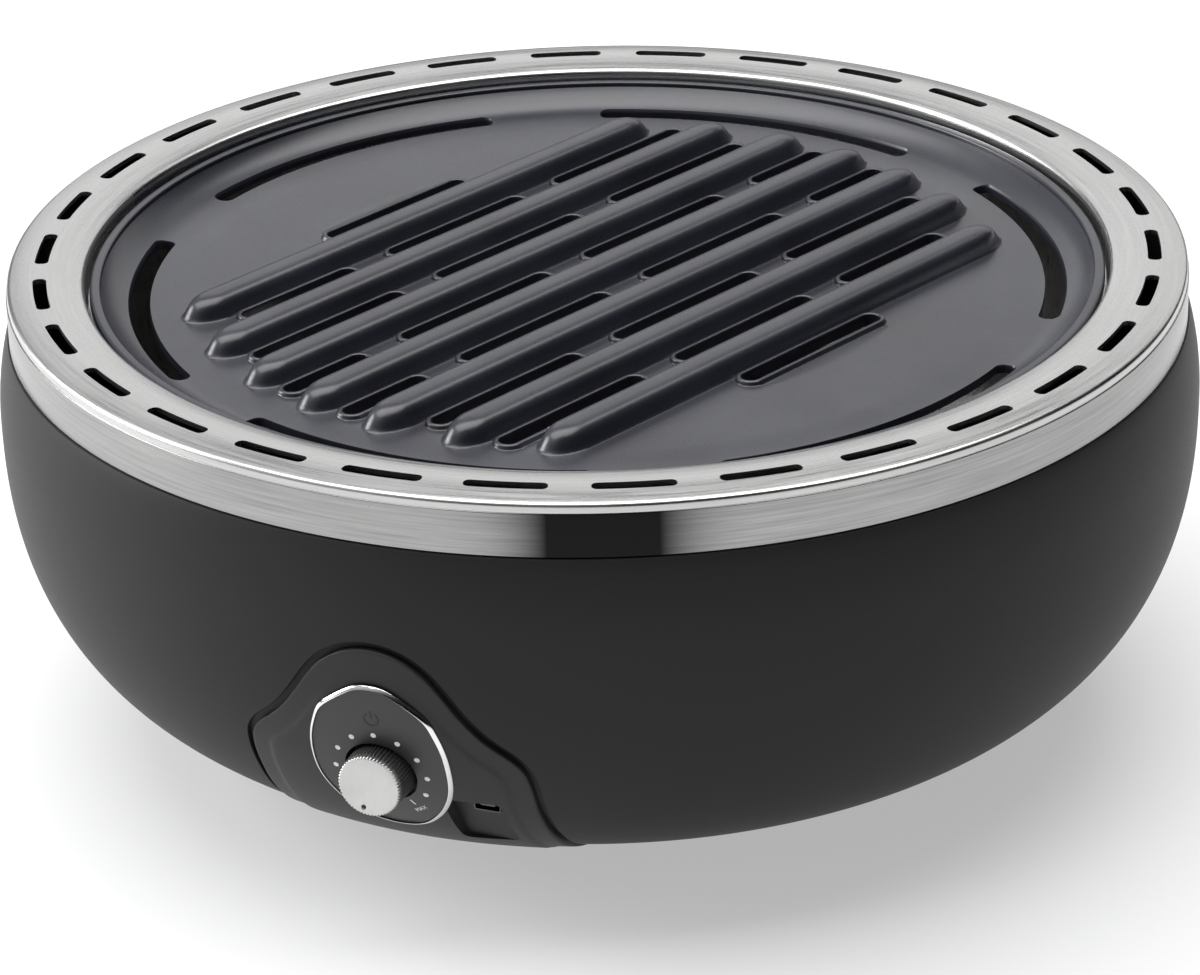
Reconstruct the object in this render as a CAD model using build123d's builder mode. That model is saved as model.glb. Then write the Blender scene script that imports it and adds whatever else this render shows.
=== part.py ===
from build123d import *
import os
from math import cos, pi, radians, sin, sqrt

os.makedirs("parts", exist_ok=True)

# Round tabletop charcoal grill with a fan and a control panel at the front (-Y).
# Origin: on the table under the centre of the bowl. +Z up, millimetres.

# Fits and small values shared by several pieces
seat_gap = 0.3         # between curved faces of pieces that come apart
face_gap = 0.1         # between curved faces that are glued or clipped
running_gap = 0.05     # round turning shafts, pins and screw shanks
overrun = 20.0         # how far a cutter passes the face it cuts

# Outer bowl
bowl_radius = 175.0
floor_radius = 80.5    # flat bottom, where the side starts to rise
foot_gap = 7.6         # the bowl's floor over the table
belly_rise = 91.1      # from the floor to the widest place
shoulder_rise = 23.9   # from there to the band
shoulder_drawin = 3.5  # how much narrower the bowl is at the band
bowl_wall = 2.5
bulge_across = 2.61    # exponents of the rounded side
bulge_up = 2.42
profile_steps = 12     # pieces of the side's smooth line
rim_step = 2.3         # the upstand that carries the band stands in by this
rim_wall = 2.5
rim_shelf = 3.0

# Steel band and slotted ring
band_height = 13.0
band_sheet = 1.4
band_ledge = 6.0
band_round = 0.25
ring_crown = 3.4       # top of the ring over the band
ring_sheet = 1.4
ring_outer = 170.6
ring_inner = 148.4     # inside of the rolled-down edge
ring_roll = 4.0        # height of the roll at the inner edge
roll_rise_share = 0.94
roll_run_share = 0.5
inner_run_share = 0.2  # the inner edge turns down more sharply
ring_collar = 12.0     # from the ring's top to the ledge of the fire bowl
ring_ledge = 5.4
ring_slots = 30
slot_circle = 161.0
slot_angle = 8.0       # degrees
slot_width = 4.0
slot_corner = 1.6

# Cooking plate
plate_gap = 1.4        # round the plate, inside the ring
plate_sheet = 2.5
bead_width = 3.2
bead_height = 2.9
bead_round = 0.9
bead_drop = 3.6        # under the ring's top
gutter_depth = 6.6     # under the bead's top
gutter_outer = 132.0   # where the side wall starts to curve up
centre_rise = 0.2      # middle of the plate over the gutter
field_radius = 118.0   # where the ribbed field ends
rib_reach = 120.0
rib_count = 7
rib_pitch = 23.2
rib_width = 13.0
rib_height = 5.5
rib_taper = 20.0       # degrees
rib_round = 2.2
rib_turn = 68.2        # degrees, direction of the ribs
drip_width = 5.5
lip_width = 1.6
lip_height = 1.3
# Drip slots in the rows on one side of the middle: each runs from and to a share of rib_reach
drip_span_shares = (
    ((-0.96, -0.70), (-0.57, -0.07), (0.07, 0.57), (0.70, 0.96)),
    ((-0.87, -0.38), (-0.25, 0.25), (0.38, 0.87)),
    ((-0.85, -0.38), (-0.25, 0.22), (0.35, 0.72)),
    ((-0.24, 0.24),),
)
arc_slots = 6
arc_slot_angle = 45.0  # degrees
arc_slot_width = 5.7
arc_slot_circle = 132.8
arc_slot_corner = 2.4
arc_slot_start = -92.5 # degrees

# Fire bowl
fire_mouth = 142.4
fire_base = 95.0
fire_depth = 71.0      # from the ring's ledge down to the floor
fire_sheet = 1.2
fire_straight = 15.0   # plain part under the flange
fire_hole = 30.0       # air hole in the floor
fire_collar = 4.0

# Gel tray, basket and lid
tray_radius = 60.0
tray_height = 15.0
tray_sheet = 1.0
tray_lift = 5.0
tray_feet = 3
tray_foot_radius = 4.0
tray_foot_circle = 44.0
tray_rim = 3.0
basket_radius = 76.0
basket_taper = 5.0
basket_height = 42.0
basket_sheet = 1.0
basket_rim = 3.0
basket_slots = 24
basket_slot_height = 25.0
basket_slot_width = 6.0
floor_circles = (18.0, 34.0, 50.0)
floor_turn = 20.0      # degrees from one circle of slots to the next
floor_slots = 6
floor_slot_angle = 44.0
floor_slot_width = 5.0
floor_slot_corner = 2.0
lid_gap = 0.6
lid_skirt = 7.0
lid_rise = 3.5
lid_shoulder = 8.0
lid_slots = 12
lid_slot_angle = 20.0
lid_slot_width = 5.0
lid_slot_circle = 56.0
grip_length = 44.0
grip_width = 8.0
grip_height = 3.0
grip_sheet = 1.0
grip_foot = 5.0

# Control panel, in front view
panel_half_width = 40.3
panel_lift = 4.9       # its lower end over the bowl's floor
panel_height = 81.3
panel_proud = 0.7
panel_depth = 1.5      # pocket in the bowl's wall
panel_pad = 0.6        # the inner field stands this much further out
panel_border = 6.2
groove_width = 1.9
flank_steps = 6        # pieces of the flank's smooth line
# Right side of the outline, as shares of the half width and of the height
crown_share = (0.471, 0.867)
flank_shares = ((0.583, 0.787), (0.710, 0.707), (0.903, 0.619), (1.0, 0.498))

# Dial
dial_half_width = 19.0
dial_height = 48.6
dial_lift = 20.3       # its lower point over the panel's lower end
dial_sheet = 0.6
egg_steps = 16         # pieces of the dial's smooth outline
trim_width = 1.1
trim_proud = 0.7
egg_shares = ((0.515, 0.914), (0.860, 0.748), (1.0, 0.521), (0.860, 0.310), (0.400, 0.062))

# Knob
knob_lift = 42.1       # its axis over the panel's lower end
knob_front = 178.9     # front of the cap from the middle of the bowl
knob_radius = 9.3
knob_teeth = 56
tooth_depth = 0.35
tooth_share = 0.5      # tooth width as a share of the pitch
knob_length = 12.0
knob_wall = 1.4
knob_web = 2.6
knob_hub = 5.0
cap_radius = 8.95
cap_sheet = 1.7
cap_round = 0.4
cap_taper = 45.0       # degrees
cap_dot_radius = 0.7
cap_dot_depth = 0.3
cap_dot_circle = 6.6
cap_dot_turn = -105.0  # degrees from +X, the off place

# Potentiometer behind the knob
well_gap = 1.0
well_floor = 2.0
cup_wall = 1.6
pot_radius = 8.3
pot_depth = 7.0
bush_radius = 3.5
bush_length = 5.0
stem_radius = 3.0
stem_depth = 2.0       # how far the stem goes into the body
nut_width = 10.0
nut_thickness = 2.0
pin_pitch = 5.0
pin_width = 0.8
pin_run = 4.5
pin_drop = 5.5         # pins under the potentiometer's axis

# Micro-USB socket and its recess
usb_x = 25.0
usb_z = 41.5
usb_width = 7.9
usb_height = 2.9
usb_length = 9.0
usb_wall = 0.35
usb_round = 0.9
usb_tongue = 0.8
usb_tongue_width = 4.2
recess_width = 16.0
recess_height = 20.0
recess_corner = 2.5
recess_depth = 2.7     # at the socket
recess_lean = 30.0     # degrees, its floor from upright
recess_drop = 6.0      # its middle under the socket
recess_side = 1.5      # and to the socket's left

# Control board on posts
board_width = 62.0
board_depth = 36.0
board_sheet = 1.6
board_back = 116.0     # its rear edge from the middle of the bowl
post_radius = 3.2
post_inset = 4.5
front_post_x = 12.0
chip_size = 9.0
chip_height = 1.6
capacitor_radius = 3.2
capacitor_height = 9.0
capacitor_x = 20.0
parts_y = 128.0

# Screws
screw_radius = 1.25
screw_head = 2.6
screw_head_height = 1.6
cross_width = 0.7
cross_depth = 0.9
board_screw_length = 7.0
base_screw_length = 5.5
housing_screw_length = 6.0
shield_screw_length = 5.0

# Panel hooks
hook_width = 2.0
hook_height = 7.0
hook_reach = 3.0
hook_barb = 1.2
hook_place_shares = ((0.79, 0.57), (0.83, 0.19))

# Underside
cover_radius = 99.6
cover_sheet = 3.5
cover_round = 0.8
ledge_width = 7.0
ledge_height = 4.0
base_screws_count = 4
base_screw_circle = 96.3
counterbore_depth = 2.0
intake_circles = (12.0, 21.0, 30.0)
intake_turn = 15.0     # degrees from one circle of slots to the next
intake_slots = 6
intake_width = 5.0
intake_corner = 2.0
intake_angle = 44.0    # degrees
foot_circle = 86.0
foot_radius = 7.0
foot_stem = 3.0
foot_head = 3.8
foot_head_height = 1.8
foot_head_taper = 20.0 # degrees
foot_round = 1.5
foot_count = 4

# Cells, box and door
cell_radius = 7.1
cell_length = 49.2
cell_nub = 1.0
nub_radius = 2.7
cell_gap = 0.3
box_wall = 1.5
box_centre_y = 56.0
partition = 1.0
contact_sheet = 0.4
contact_width = 9.0
contact_lift = 1.0
lug_radius = 4.5
lug_height = 3.0
box_lug_y = 46.0
door_sheet = 3.0
door_gap = 0.4
door_pin_radius = 1.0
door_pin_length = 1.8
grip_grooves = 3
grip_groove_width = 1.2
grip_groove_depth = 0.8
grip_groove_pitch = 2.6
grip_groove_length = 18.0

# Fan
housing_radius = 38.0
housing_wall = 2.0
housing_height = 35.0
flange_reach = 8.0
flange_sheet = 2.0
nozzle_radius = 28.0
nozzle_wall = 1.6
nozzle_height = 8.0
lug_circle = 41.5
lug_angles = (20, 160, 200, 340)
shield_screw_circle = 42.5
shield_screw_angles = (0, 60, 120, 180, 240, 300)
boss_radius = 3.2
boss_height = 5.0
cup_floor = 1.2
motor_cup_wall = 1.8
motor_cup_height = 10.0
arm_count = 3
arm_width = 3.5
motor_radius = 12.0
motor_height = 16.0
motor_round = 1.0
motor_boss_radius = 4.0
fan_shaft_radius = 1.0
shaft_depth = 8.0      # how far the shaft goes into the motor
rotor_lift = 3.0       # rotor over the cover
rotor_height = 10.0
rotor_floor = 1.5
motor_gap = 0.8        # rotor under the motor cup
hub_radius = 10.0
hub_round = 2.0
tip_gap = 2.0
blade_count = 7
blade_sheet = 1.2
blade_root_chord = 9.0
blade_tip_chord = 15.0
blade_root_pitch = 50.0
blade_tip_pitch = 26.0

# Heat shield
shield_radius = 100.0
shield_hole = 34.0
shield_sheet = 0.8
shield_rim = 5.0

# Heights and radii that follow
belly_z = foot_gap + belly_rise
shoulder_z = belly_z + shoulder_rise
band_top_z = shoulder_z + band_height
ring_top_z = band_top_z + ring_crown
shoulder_radius = bowl_radius - shoulder_drawin
rim_radius = shoulder_radius - rim_step
band_radius = rim_radius + seat_gap + band_sheet
ledge_z = ring_top_z - ring_collar
bead_top_z = ring_top_z - bead_drop
bead_bottom_z = bead_top_z - bead_height
bead_radius = ring_inner - plate_gap
bead_inner = bead_radius - bead_width
gutter_z = bead_top_z - gutter_depth
field_z = gutter_z + centre_rise
fire_floor_z = ledge_z - fire_depth
fire_inside_z = fire_floor_z + fire_sheet
tray_top_z = fire_inside_z + tray_height
basket_top_z = tray_top_z + basket_height
cover_z = foot_gap + cover_sheet
panel_z = foot_gap + panel_lift
knob_z = panel_z + knob_lift
deck_z = usb_z - usb_height / 2
opening_radius = cover_radius + seat_gap


def side_point(turn, out, base, mouth, bottom, top):
    """Point in the section of a rounded side between bottom and top, moved outwards by out."""
    reach = mouth - base
    rise = top - bottom
    across = cos(turn) ** (2 / bulge_across)
    down = sin(turn) ** (2 / bulge_up)
    slope_r = bulge_across / reach * across ** (bulge_across - 1)
    slope_z = -bulge_up / rise * down ** (bulge_up - 1)
    steep = sqrt(slope_r**2 + slope_z**2)
    return (base + reach * across + out * slope_r / steep, top - rise * down + out * slope_z / steep)


def side_points(out, base, mouth, bottom, top):
    """Points of a rounded side from its foot up to its widest place."""
    turns = [pi / 2 * (1 - step / profile_steps) for step in range(profile_steps + 1)]
    return [side_point(turn, out, base, mouth, bottom, top) for turn in turns]


def bowl_radius_at(height):
    """Radius of the bowl's side at a height under its widest place."""
    down = (belly_z - height) / belly_rise
    return floor_radius + (bowl_radius - floor_radius) * (1 - down**bulge_up) ** (1 / bulge_across)


def bowl_form(out):
    """Solid form of the bowl up to the band, with its side moved outwards by out."""
    side = side_points(out, floor_radius, bowl_radius, foot_gap, belly_z)
    top = (shoulder_radius + out, shoulder_z)
    with BuildPart() as form:
        with BuildSketch(Plane.XZ):
            with BuildLine():
                Polyline((0, shoulder_z), (0, foot_gap - out), side[0])
                Spline(*side, tangents=((1, 0), (0, 1)))
                TangentArc(side[-1], top, tangent=(0, 1))
                Line(top, (0, shoulder_z))
            make_face()
        revolve(axis=Axis.Z)
    return form.part


def arc_window(radius, width, angle, corner):
    """Rounded slot that follows an arc about the origin, centred on +X."""
    with BuildSketch() as window:
        with BuildLine():
            far = CenterArc((0, 0), radius + width / 2, -angle / 2, angle)
            near = CenterArc((0, 0), radius - width / 2, -angle / 2, angle)
            Line(far @ 0, near @ 0)
            Line(far @ 1, near @ 1)
        make_face()
        fillet(window.vertices(), radius=corner)
    return window.sketch


def rolled_edge(foot, crown, run_share):
    """Smooth line from an upright edge up to the level top of the ring."""
    rise = crown[1] - foot[1]
    run = crown[0] - foot[0]
    upright = (foot[0], foot[1] + rise * roll_rise_share)
    level = (foot[0] + run * run_share, crown[1])
    return Bezier(foot, upright, level, crown)


def toothed(radius):
    """Round outline with fine teeth."""
    with BuildSketch() as outline:
        Circle(radius - tooth_depth)
        with PolarLocations(radius - tooth_depth, knob_teeth):
            Rectangle(2 * tooth_depth, 2 * pi * radius / knob_teeth * tooth_share)
    return outline.sketch


def cross_screw(length):
    """Screw along Z with the underside of its head on the origin."""
    with BuildPart() as body:
        Cylinder(screw_head, screw_head_height, align=(Align.CENTER, Align.CENTER, Align.MIN))
        fillet(body.edges().sort_by(Axis.Z)[-1], radius=screw_head_height / 2)
        with BuildSketch(Plane.XY.offset(screw_head_height)):
            for turn in (0, 90):
                Rectangle(screw_head, cross_width, rotation=turn)
        extrude(amount=-cross_depth, mode=Mode.SUBTRACT)
        Cylinder(screw_radius, length, align=(Align.CENTER, Align.CENTER, Align.MAX))
    return body.part


bowl_solid = bowl_form(0)
panel_back = bowl_form(face_gap - panel_depth)
panel_skin = bowl_form(panel_proud)
barb_seat = bowl_form(-bowl_wall - face_gap)
hook_end = bowl_form(-bowl_wall - hook_reach)
dial_seat = bowl_form(panel_proud + panel_pad + face_gap)
dial_face = bowl_form(panel_proud + panel_pad + dial_sheet)
trim_face = bowl_form(panel_proud + panel_pad + dial_sheet + trim_proud)

# Front view: local X is X, local Y is Z, and extrusions run towards -Y
front = Plane.XZ.offset(floor_radius)
front_run = bowl_radius - floor_radius + overrun


def in_panel(share):
    """Place in the panel's front view from shares of its half width and height."""
    return (share[0] * panel_half_width, panel_z + share[1] * panel_height)


with BuildLine() as panel_edge:
    right = in_panel(crown_share)
    crown = ThreePointArc((-right[0], right[1]), (0, panel_z + panel_height), right)
    flank = Spline(
        right,
        *[in_panel(share) for share in flank_shares],
        tangents=(crown % 1, (0, -1)),
    )


def panel_shape(grow):
    """Front view of the panel with its outline moved outwards by grow."""
    side = []
    for step in range(flank_steps + 1):
        along = flank % (step / flank_steps)
        side.append(flank @ (step / flank_steps) + Vector(-along.Y, along.X) * grow)
    hip = side[-1]
    with BuildSketch() as shape:
        with BuildLine():
            ThreePointArc(
                (-side[0].X, side[0].Y),
                (0, panel_z + panel_height + grow),
                (side[0].X, side[0].Y),
            )
            edge = Spline(*side, tangents=(flank % 0, flank % 1))
            mirror(edge, about=Plane.YZ)
            Polyline(hip, (hip.X, panel_z - grow), (-hip.X, panel_z - grow), (-hip.X, hip.Y))
        make_face()
    return shape.sketch


# Egg-shaped outline of the dial
dial_z = panel_z + dial_lift
egg_right = [(share[0] * dial_half_width, dial_z + share[1] * dial_height) for share in egg_shares]
egg_left = [(-x, z) for x, z in reversed(egg_right)]
with BuildLine():
    egg = Spline((0, dial_z + dial_height), *egg_right, (0, dial_z), *egg_left, periodic=True)


def dial_shape(grow):
    """Front view of the dial with its outline moved outwards by grow."""
    edge = []
    for step in range(egg_steps):
        along = egg % (step / egg_steps)
        edge.append(egg @ (step / egg_steps) + Vector(-along.Y, along.X) * grow)
    with BuildSketch() as shape:
        with BuildLine():
            Spline(*edge, periodic=True)
        make_face()
    return shape.sketch


# Places along the knob's axis, measured forwards from the middle of the bowl
cap_back = knob_front - cap_sheet
knob_back = cap_back - knob_length
well_back = knob_back - well_gap
cup_back = well_back - well_floor
pot_back = cup_back - pot_depth
well_radius = knob_radius + well_gap
cup_radius = well_radius + cup_wall

# Recess of the socket: a shallow pocket whose flat floor leans with the panel
usb_surface = sqrt(bowl_radius_at(usb_z) ** 2 - usb_x**2)
usb_front = usb_surface - recess_depth
recess_plane = Plane(
    origin=(usb_x, -usb_front, usb_z),
    x_dir=(1, 0, 0),
    z_dir=(0, -cos(radians(recess_lean)), -sin(radians(recess_lean))),
)
with BuildPart() as recess_cut:
    with BuildSketch(recess_plane):
        with Locations((-recess_side, -recess_drop)):
            RectangleRounded(recess_width, recess_height, recess_corner)
    extrude(amount=overrun)

# Window in the bowl behind the recess, wide enough for the panel's moulding
with BuildSketch() as usb_window:
    with Locations((usb_x - recess_side, usb_z - recess_drop * cos(radians(recess_lean)))):
        RectangleRounded(recess_width, recess_height, recess_corner)
    offset(amount=cup_wall)

# Snap hooks that hold the panel to the bowl
hook_places = [in_panel(share) for share in hook_place_shares]
hook_places += [(-x, z) for x, z in hook_places]
with BuildPart() as hook_pegs:
    with BuildSketch(front):
        with Locations(*hook_places):
            Rectangle(hook_width, hook_height)
    extrude(amount=front_run)
    add(panel_back, mode=Mode.INTERSECT)
    add(hook_end, mode=Mode.SUBTRACT)
with BuildPart() as hook_barbs:
    with BuildSketch(front):
        with Locations(*hook_places):
            Rectangle(hook_width + 2 * hook_barb, hook_height)
    extrude(amount=front_run)
    add(barb_seat, mode=Mode.INTERSECT)
    add(hook_end, mode=Mode.SUBTRACT)

# Outer bowl
post_places = [
    (side * place_x, -place_y)
    for side in (-1, 1)
    for place_x, place_y in (
        (board_width / 2 - post_inset, board_back + post_inset),
        (front_post_x, board_back + board_depth - post_inset),
    )
]
board_z = deck_z - board_sheet

with BuildPart() as bowl_inserts:
    with BuildSketch(Plane.XY.offset(foot_gap)):
        with Locations(*post_places):
            Circle(post_radius)
    extrude(amount=board_z - foot_gap)
    with BuildSketch(Plane.XY.offset(cover_z)):
        Circle(opening_radius + ledge_width)
        Circle(opening_radius - ledge_width, mode=Mode.SUBTRACT)
    extrude(amount=ledge_height)
    add(bowl_solid, mode=Mode.INTERSECT)

with BuildPart() as panel_pocket:
    with BuildSketch(front):
        add(panel_shape(groove_width))
    extrude(amount=front_run)
    add(bowl_form(-panel_depth), mode=Mode.SUBTRACT)

with BuildPart() as outer_bowl:
    add(bowl_solid)
    add(bowl_form(-bowl_wall), mode=Mode.SUBTRACT)
    add(bowl_inserts.part)
    with BuildSketch(Plane.XY.offset(shoulder_z - rim_shelf)):
        Circle(shoulder_radius - bowl_wall / 2)
        Circle(rim_radius - rim_wall, mode=Mode.SUBTRACT)
    extrude(amount=rim_shelf)
    with BuildSketch(Plane.XY.offset(shoulder_z)):
        Circle(rim_radius)
        Circle(rim_radius - rim_wall, mode=Mode.SUBTRACT)
    extrude(amount=band_height - band_sheet)
    # round opening for the cover, and the screw holes round it and in the posts
    with BuildSketch(Plane.XY.offset(cover_z)):
        Circle(opening_radius)
    extrude(amount=-overrun, mode=Mode.SUBTRACT)
    with BuildSketch(Plane.XY.offset(cover_z)):
        with PolarLocations(base_screw_circle, base_screws_count):
            Circle(screw_radius + running_gap)
    extrude(amount=ledge_height, mode=Mode.SUBTRACT)
    with BuildSketch(Plane.XY.offset(board_z)):
        with Locations(*post_places):
            Circle(screw_radius + running_gap)
    extrude(amount=-board_screw_length, mode=Mode.SUBTRACT)
    # pocket of the panel with the windows for the cup, the socket and the hooks
    add(panel_pocket.part, mode=Mode.SUBTRACT)
    with BuildSketch(front):
        with Locations((0, knob_z)):
            Circle(cup_radius + seat_gap)
        add(usb_window.sketch)
        with Locations(*hook_places):
            Rectangle(hook_width + 2 * face_gap, hook_height + 2 * face_gap)
    extrude(amount=front_run, mode=Mode.SUBTRACT)
outer_bowl.part.label = "outer_bowl"
export_step(outer_bowl.part, "parts/outer_bowl.step")

# Steel band round the rim, with a ledge for the ring
with BuildPart() as rim_band:
    with BuildSketch(Plane.XZ):
        with BuildLine():
            Polyline(
                (band_radius, shoulder_z + seat_gap),
                (band_radius, band_top_z),
                (band_radius - band_ledge, band_top_z),
                (band_radius - band_ledge, band_top_z - band_sheet),
                (band_radius - band_sheet, band_top_z - band_sheet),
                (band_radius - band_sheet, shoulder_z + seat_gap),
                close=True,
            )
        make_face()
    revolve(axis=Axis.Z)
    fillet(rim_band.edges().filter_by_position(Axis.Z, band_top_z, band_top_z).sort_by(
        SortBy.RADIUS)[-1], radius=band_round)
rim_band.part.label = "rim_band"
export_step(rim_band.part, "parts/rim_band.step")

# Slotted ring: crowned sheet, rolled-down inner edge, collar and ledge for the fire bowl
collar_radius = ring_inner + ring_sheet
ring_foot = (ring_outer, band_top_z)
inner_foot = (ring_outer - ring_sheet, band_top_z)
roll_foot = (ring_inner, ring_top_z - ring_roll)
collar_foot = (collar_radius, ring_top_z - ring_roll)
with BuildPart() as slotted_ring:
    with BuildSketch(Plane.XZ):
        with BuildLine():
            rolled_edge(ring_foot, (slot_circle, ring_top_z), roll_run_share)
            rolled_edge(roll_foot, (slot_circle, ring_top_z), inner_run_share)
            Polyline(
                roll_foot,
                (ring_inner, ledge_z),
                (ring_inner - ring_ledge, ledge_z),
                (ring_inner - ring_ledge, ledge_z - ring_sheet),
                (collar_radius, ledge_z - ring_sheet),
                collar_foot,
            )
            rolled_edge(collar_foot, (slot_circle, ring_top_z - ring_sheet), inner_run_share)
            rolled_edge(inner_foot, (slot_circle, ring_top_z - ring_sheet), roll_run_share)
            Line(inner_foot, ring_foot)
        make_face()
    revolve(axis=Axis.Z)
    with BuildSketch(Plane.XY.offset(ring_top_z)):
        with PolarLocations(0, ring_slots, start_angle=-90):
            add(arc_window(slot_circle, slot_width, slot_angle, slot_corner))
    extrude(amount=ring_roll, both=True, mode=Mode.SUBTRACT)
slotted_ring.part.label = "slotted_ring"
export_step(slotted_ring.part, "parts/slotted_ring.step")
print("bowl, band and ring", outer_bowl.part.volume, rim_band.part.volume, slotted_ring.part.volume)

# Fire bowl: pressed sheet with a flange on the ring's ledge and a lip under the plate
fire_wall_z = ledge_z - fire_straight
fire_out = side_points(0, fire_base, fire_mouth, fire_floor_z, fire_wall_z)
fire_in = side_points(-fire_sheet, fire_base, fire_mouth, fire_floor_z, fire_wall_z)
flange_radius = bead_radius + seat_gap
with BuildPart() as inner_bowl:
    with BuildSketch(Plane.XZ):
        with BuildLine():
            Line((fire_hole, fire_floor_z), fire_out[0])
            Spline(*fire_out, tangents=((1, 0), (0, 1)))
            Polyline(
                fire_out[-1],
                (fire_mouth, ledge_z),
                (flange_radius, ledge_z),
                (flange_radius, bead_bottom_z),
                (flange_radius - fire_sheet, bead_bottom_z),
                (flange_radius - fire_sheet, ledge_z + fire_sheet),
                (fire_mouth - fire_sheet, ledge_z + fire_sheet),
                fire_in[-1],
            )
            Spline(*fire_in, tangents=((1, 0), (0, 1)))
            Polyline(
                fire_in[0],
                (fire_hole + fire_sheet, fire_inside_z),
                (fire_hole + fire_sheet, fire_inside_z + fire_collar),
                (fire_hole, fire_inside_z + fire_collar),
                (fire_hole, fire_floor_z),
            )
        make_face()
    revolve(axis=Axis.Z)
inner_bowl.part.label = "inner_bowl"
export_step(inner_bowl.part, "parts/inner_bowl.step")

# Cooking plate: the sheet, its curved wall and its bead, then ribs and lipped slots in one direction
wall_top_z = bead_bottom_z + bead_height / 2
wall_run = bead_inner - gutter_outer
wall_rise = wall_top_z - gutter_z
wall_arc = (wall_run**2 + wall_rise**2) / (2 * wall_rise)
wall_depth = wall_arc - (bead_bottom_z - gutter_z)
wall_end = gutter_outer + sqrt((wall_arc + plate_sheet) ** 2 - wall_depth**2)
under_z = gutter_z - plate_sheet
with BuildPart() as lip_form:
    with BuildSketch(Plane.XZ):
        with BuildLine():
            Polyline(
                (0, field_z + lip_height),
                (field_radius, gutter_z + lip_height),
                (field_radius, gutter_z - plate_sheet / 2),
                (0, field_z - plate_sheet / 2),
                close=True,
            )
        make_face()
    revolve(axis=Axis.Z)

rib_plane = Plane.XY.offset(field_z - plate_sheet / 2).rotated((0, 0, rib_turn))
rows = range(rib_count // 2 + 1)
rib_places = [rib_pitch * row for row in range(-(rib_count // 2), rib_count // 2 + 1)]
drips = []
for row, spans in zip(rows, drip_span_shares):
    for start, end in spans:
        for side in (-1, 1):
            middle = (start + end) / 2 * rib_reach
            drips.append((side * middle, -side * rib_pitch * (row + 1 / 2), (end - start) * rib_reach))
with BuildPart() as lips:
    with BuildSketch(rib_plane):
        for along, across, length in drips:
            with Locations((along, across)):
                SlotOverall(length + 2 * lip_width, drip_width + 2 * lip_width)
    extrude(amount=plate_sheet + lip_height)
    add(lip_form.part, mode=Mode.INTERSECT)
with BuildPart() as ribs:
    for across in rib_places:
        reach = sqrt(rib_reach**2 - across**2)
        with BuildSketch(rib_plane):
            with Locations((0, across)):
                SlotOverall(2 * reach, rib_width)
        extrude(amount=rib_height + plate_sheet / 2, taper=rib_taper)
    fillet(ribs.faces().filter_by(Plane.XY).group_by(Axis.Z)[-1].edges(), radius=rib_round)

with BuildPart() as grill_plate:
    with BuildSketch(Plane.XZ):
        with BuildLine():
            Polyline((0, field_z), (field_radius, gutter_z), (gutter_outer, gutter_z))
            TangentArc((gutter_outer, gutter_z), (bead_inner, wall_top_z), tangent=(1, 0))
            Polyline(
                (bead_inner, wall_top_z),
                (bead_inner, bead_top_z),
                (bead_radius, bead_top_z),
                (bead_radius, bead_bottom_z),
                (wall_end, bead_bottom_z),
            )
            TangentArc((gutter_outer, under_z), (wall_end, bead_bottom_z), tangent=(1, 0))
            Polyline(
                (gutter_outer, under_z),
                (field_radius, under_z),
                (0, field_z - plate_sheet),
                (0, field_z),
            )
        make_face()
    revolve(axis=Axis.Z)
    fillet(grill_plate.edges().group_by(Axis.Z)[-1], radius=bead_round)
    add(ribs.part)
    add(lips.part)
    with BuildSketch(rib_plane):
        for along, across, length in drips:
            with Locations((along, across)):
                SlotOverall(length, drip_width)
    extrude(amount=overrun, both=True, mode=Mode.SUBTRACT)
    with BuildSketch(Plane.XY.offset(gutter_z)):
        with PolarLocations(0, arc_slots, start_angle=arc_slot_start):
            add(arc_window(arc_slot_circle, arc_slot_width, arc_slot_angle, arc_slot_corner))
    extrude(amount=overrun, both=True, mode=Mode.SUBTRACT)
grill_plate.part.label = "grill_plate"
export_step(grill_plate.part, "parts/grill_plate.step")
print("fire bowl and plate", inner_bowl.part.volume, grill_plate.part.volume)

# Gel tray on three pressed feet, over the air hole of the fire bowl
tray_floor_z = fire_inside_z + tray_lift
with BuildPart() as ignition_tray:
    with BuildSketch(Plane.XY.offset(fire_inside_z)):
        with PolarLocations(tray_foot_circle, tray_feet):
            Circle(tray_foot_radius)
    extrude(amount=tray_lift)
    with BuildSketch(Plane.XY.offset(tray_floor_z)):
        Circle(tray_radius)
    extrude(amount=tray_height - tray_lift)
    with BuildSketch(Plane.XY.offset(tray_floor_z + tray_sheet)):
        Circle(tray_radius - tray_sheet)
    extrude(amount=tray_height, mode=Mode.SUBTRACT)
    with BuildSketch(Plane.XY.offset(tray_top_z)):
        Circle(tray_radius + tray_rim)
        Circle(tray_radius - tray_sheet, mode=Mode.SUBTRACT)
    extrude(amount=-tray_sheet)
    with BuildSketch(Plane.XY.offset(tray_floor_z + tray_sheet)):
        with PolarLocations(tray_foot_circle, tray_feet):
            Circle(tray_foot_radius - tray_sheet)
    extrude(amount=-tray_lift, mode=Mode.SUBTRACT)
ignition_tray.part.label = "ignition_tray"
export_step(ignition_tray.part, "parts/ignition_tray.step")

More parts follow.
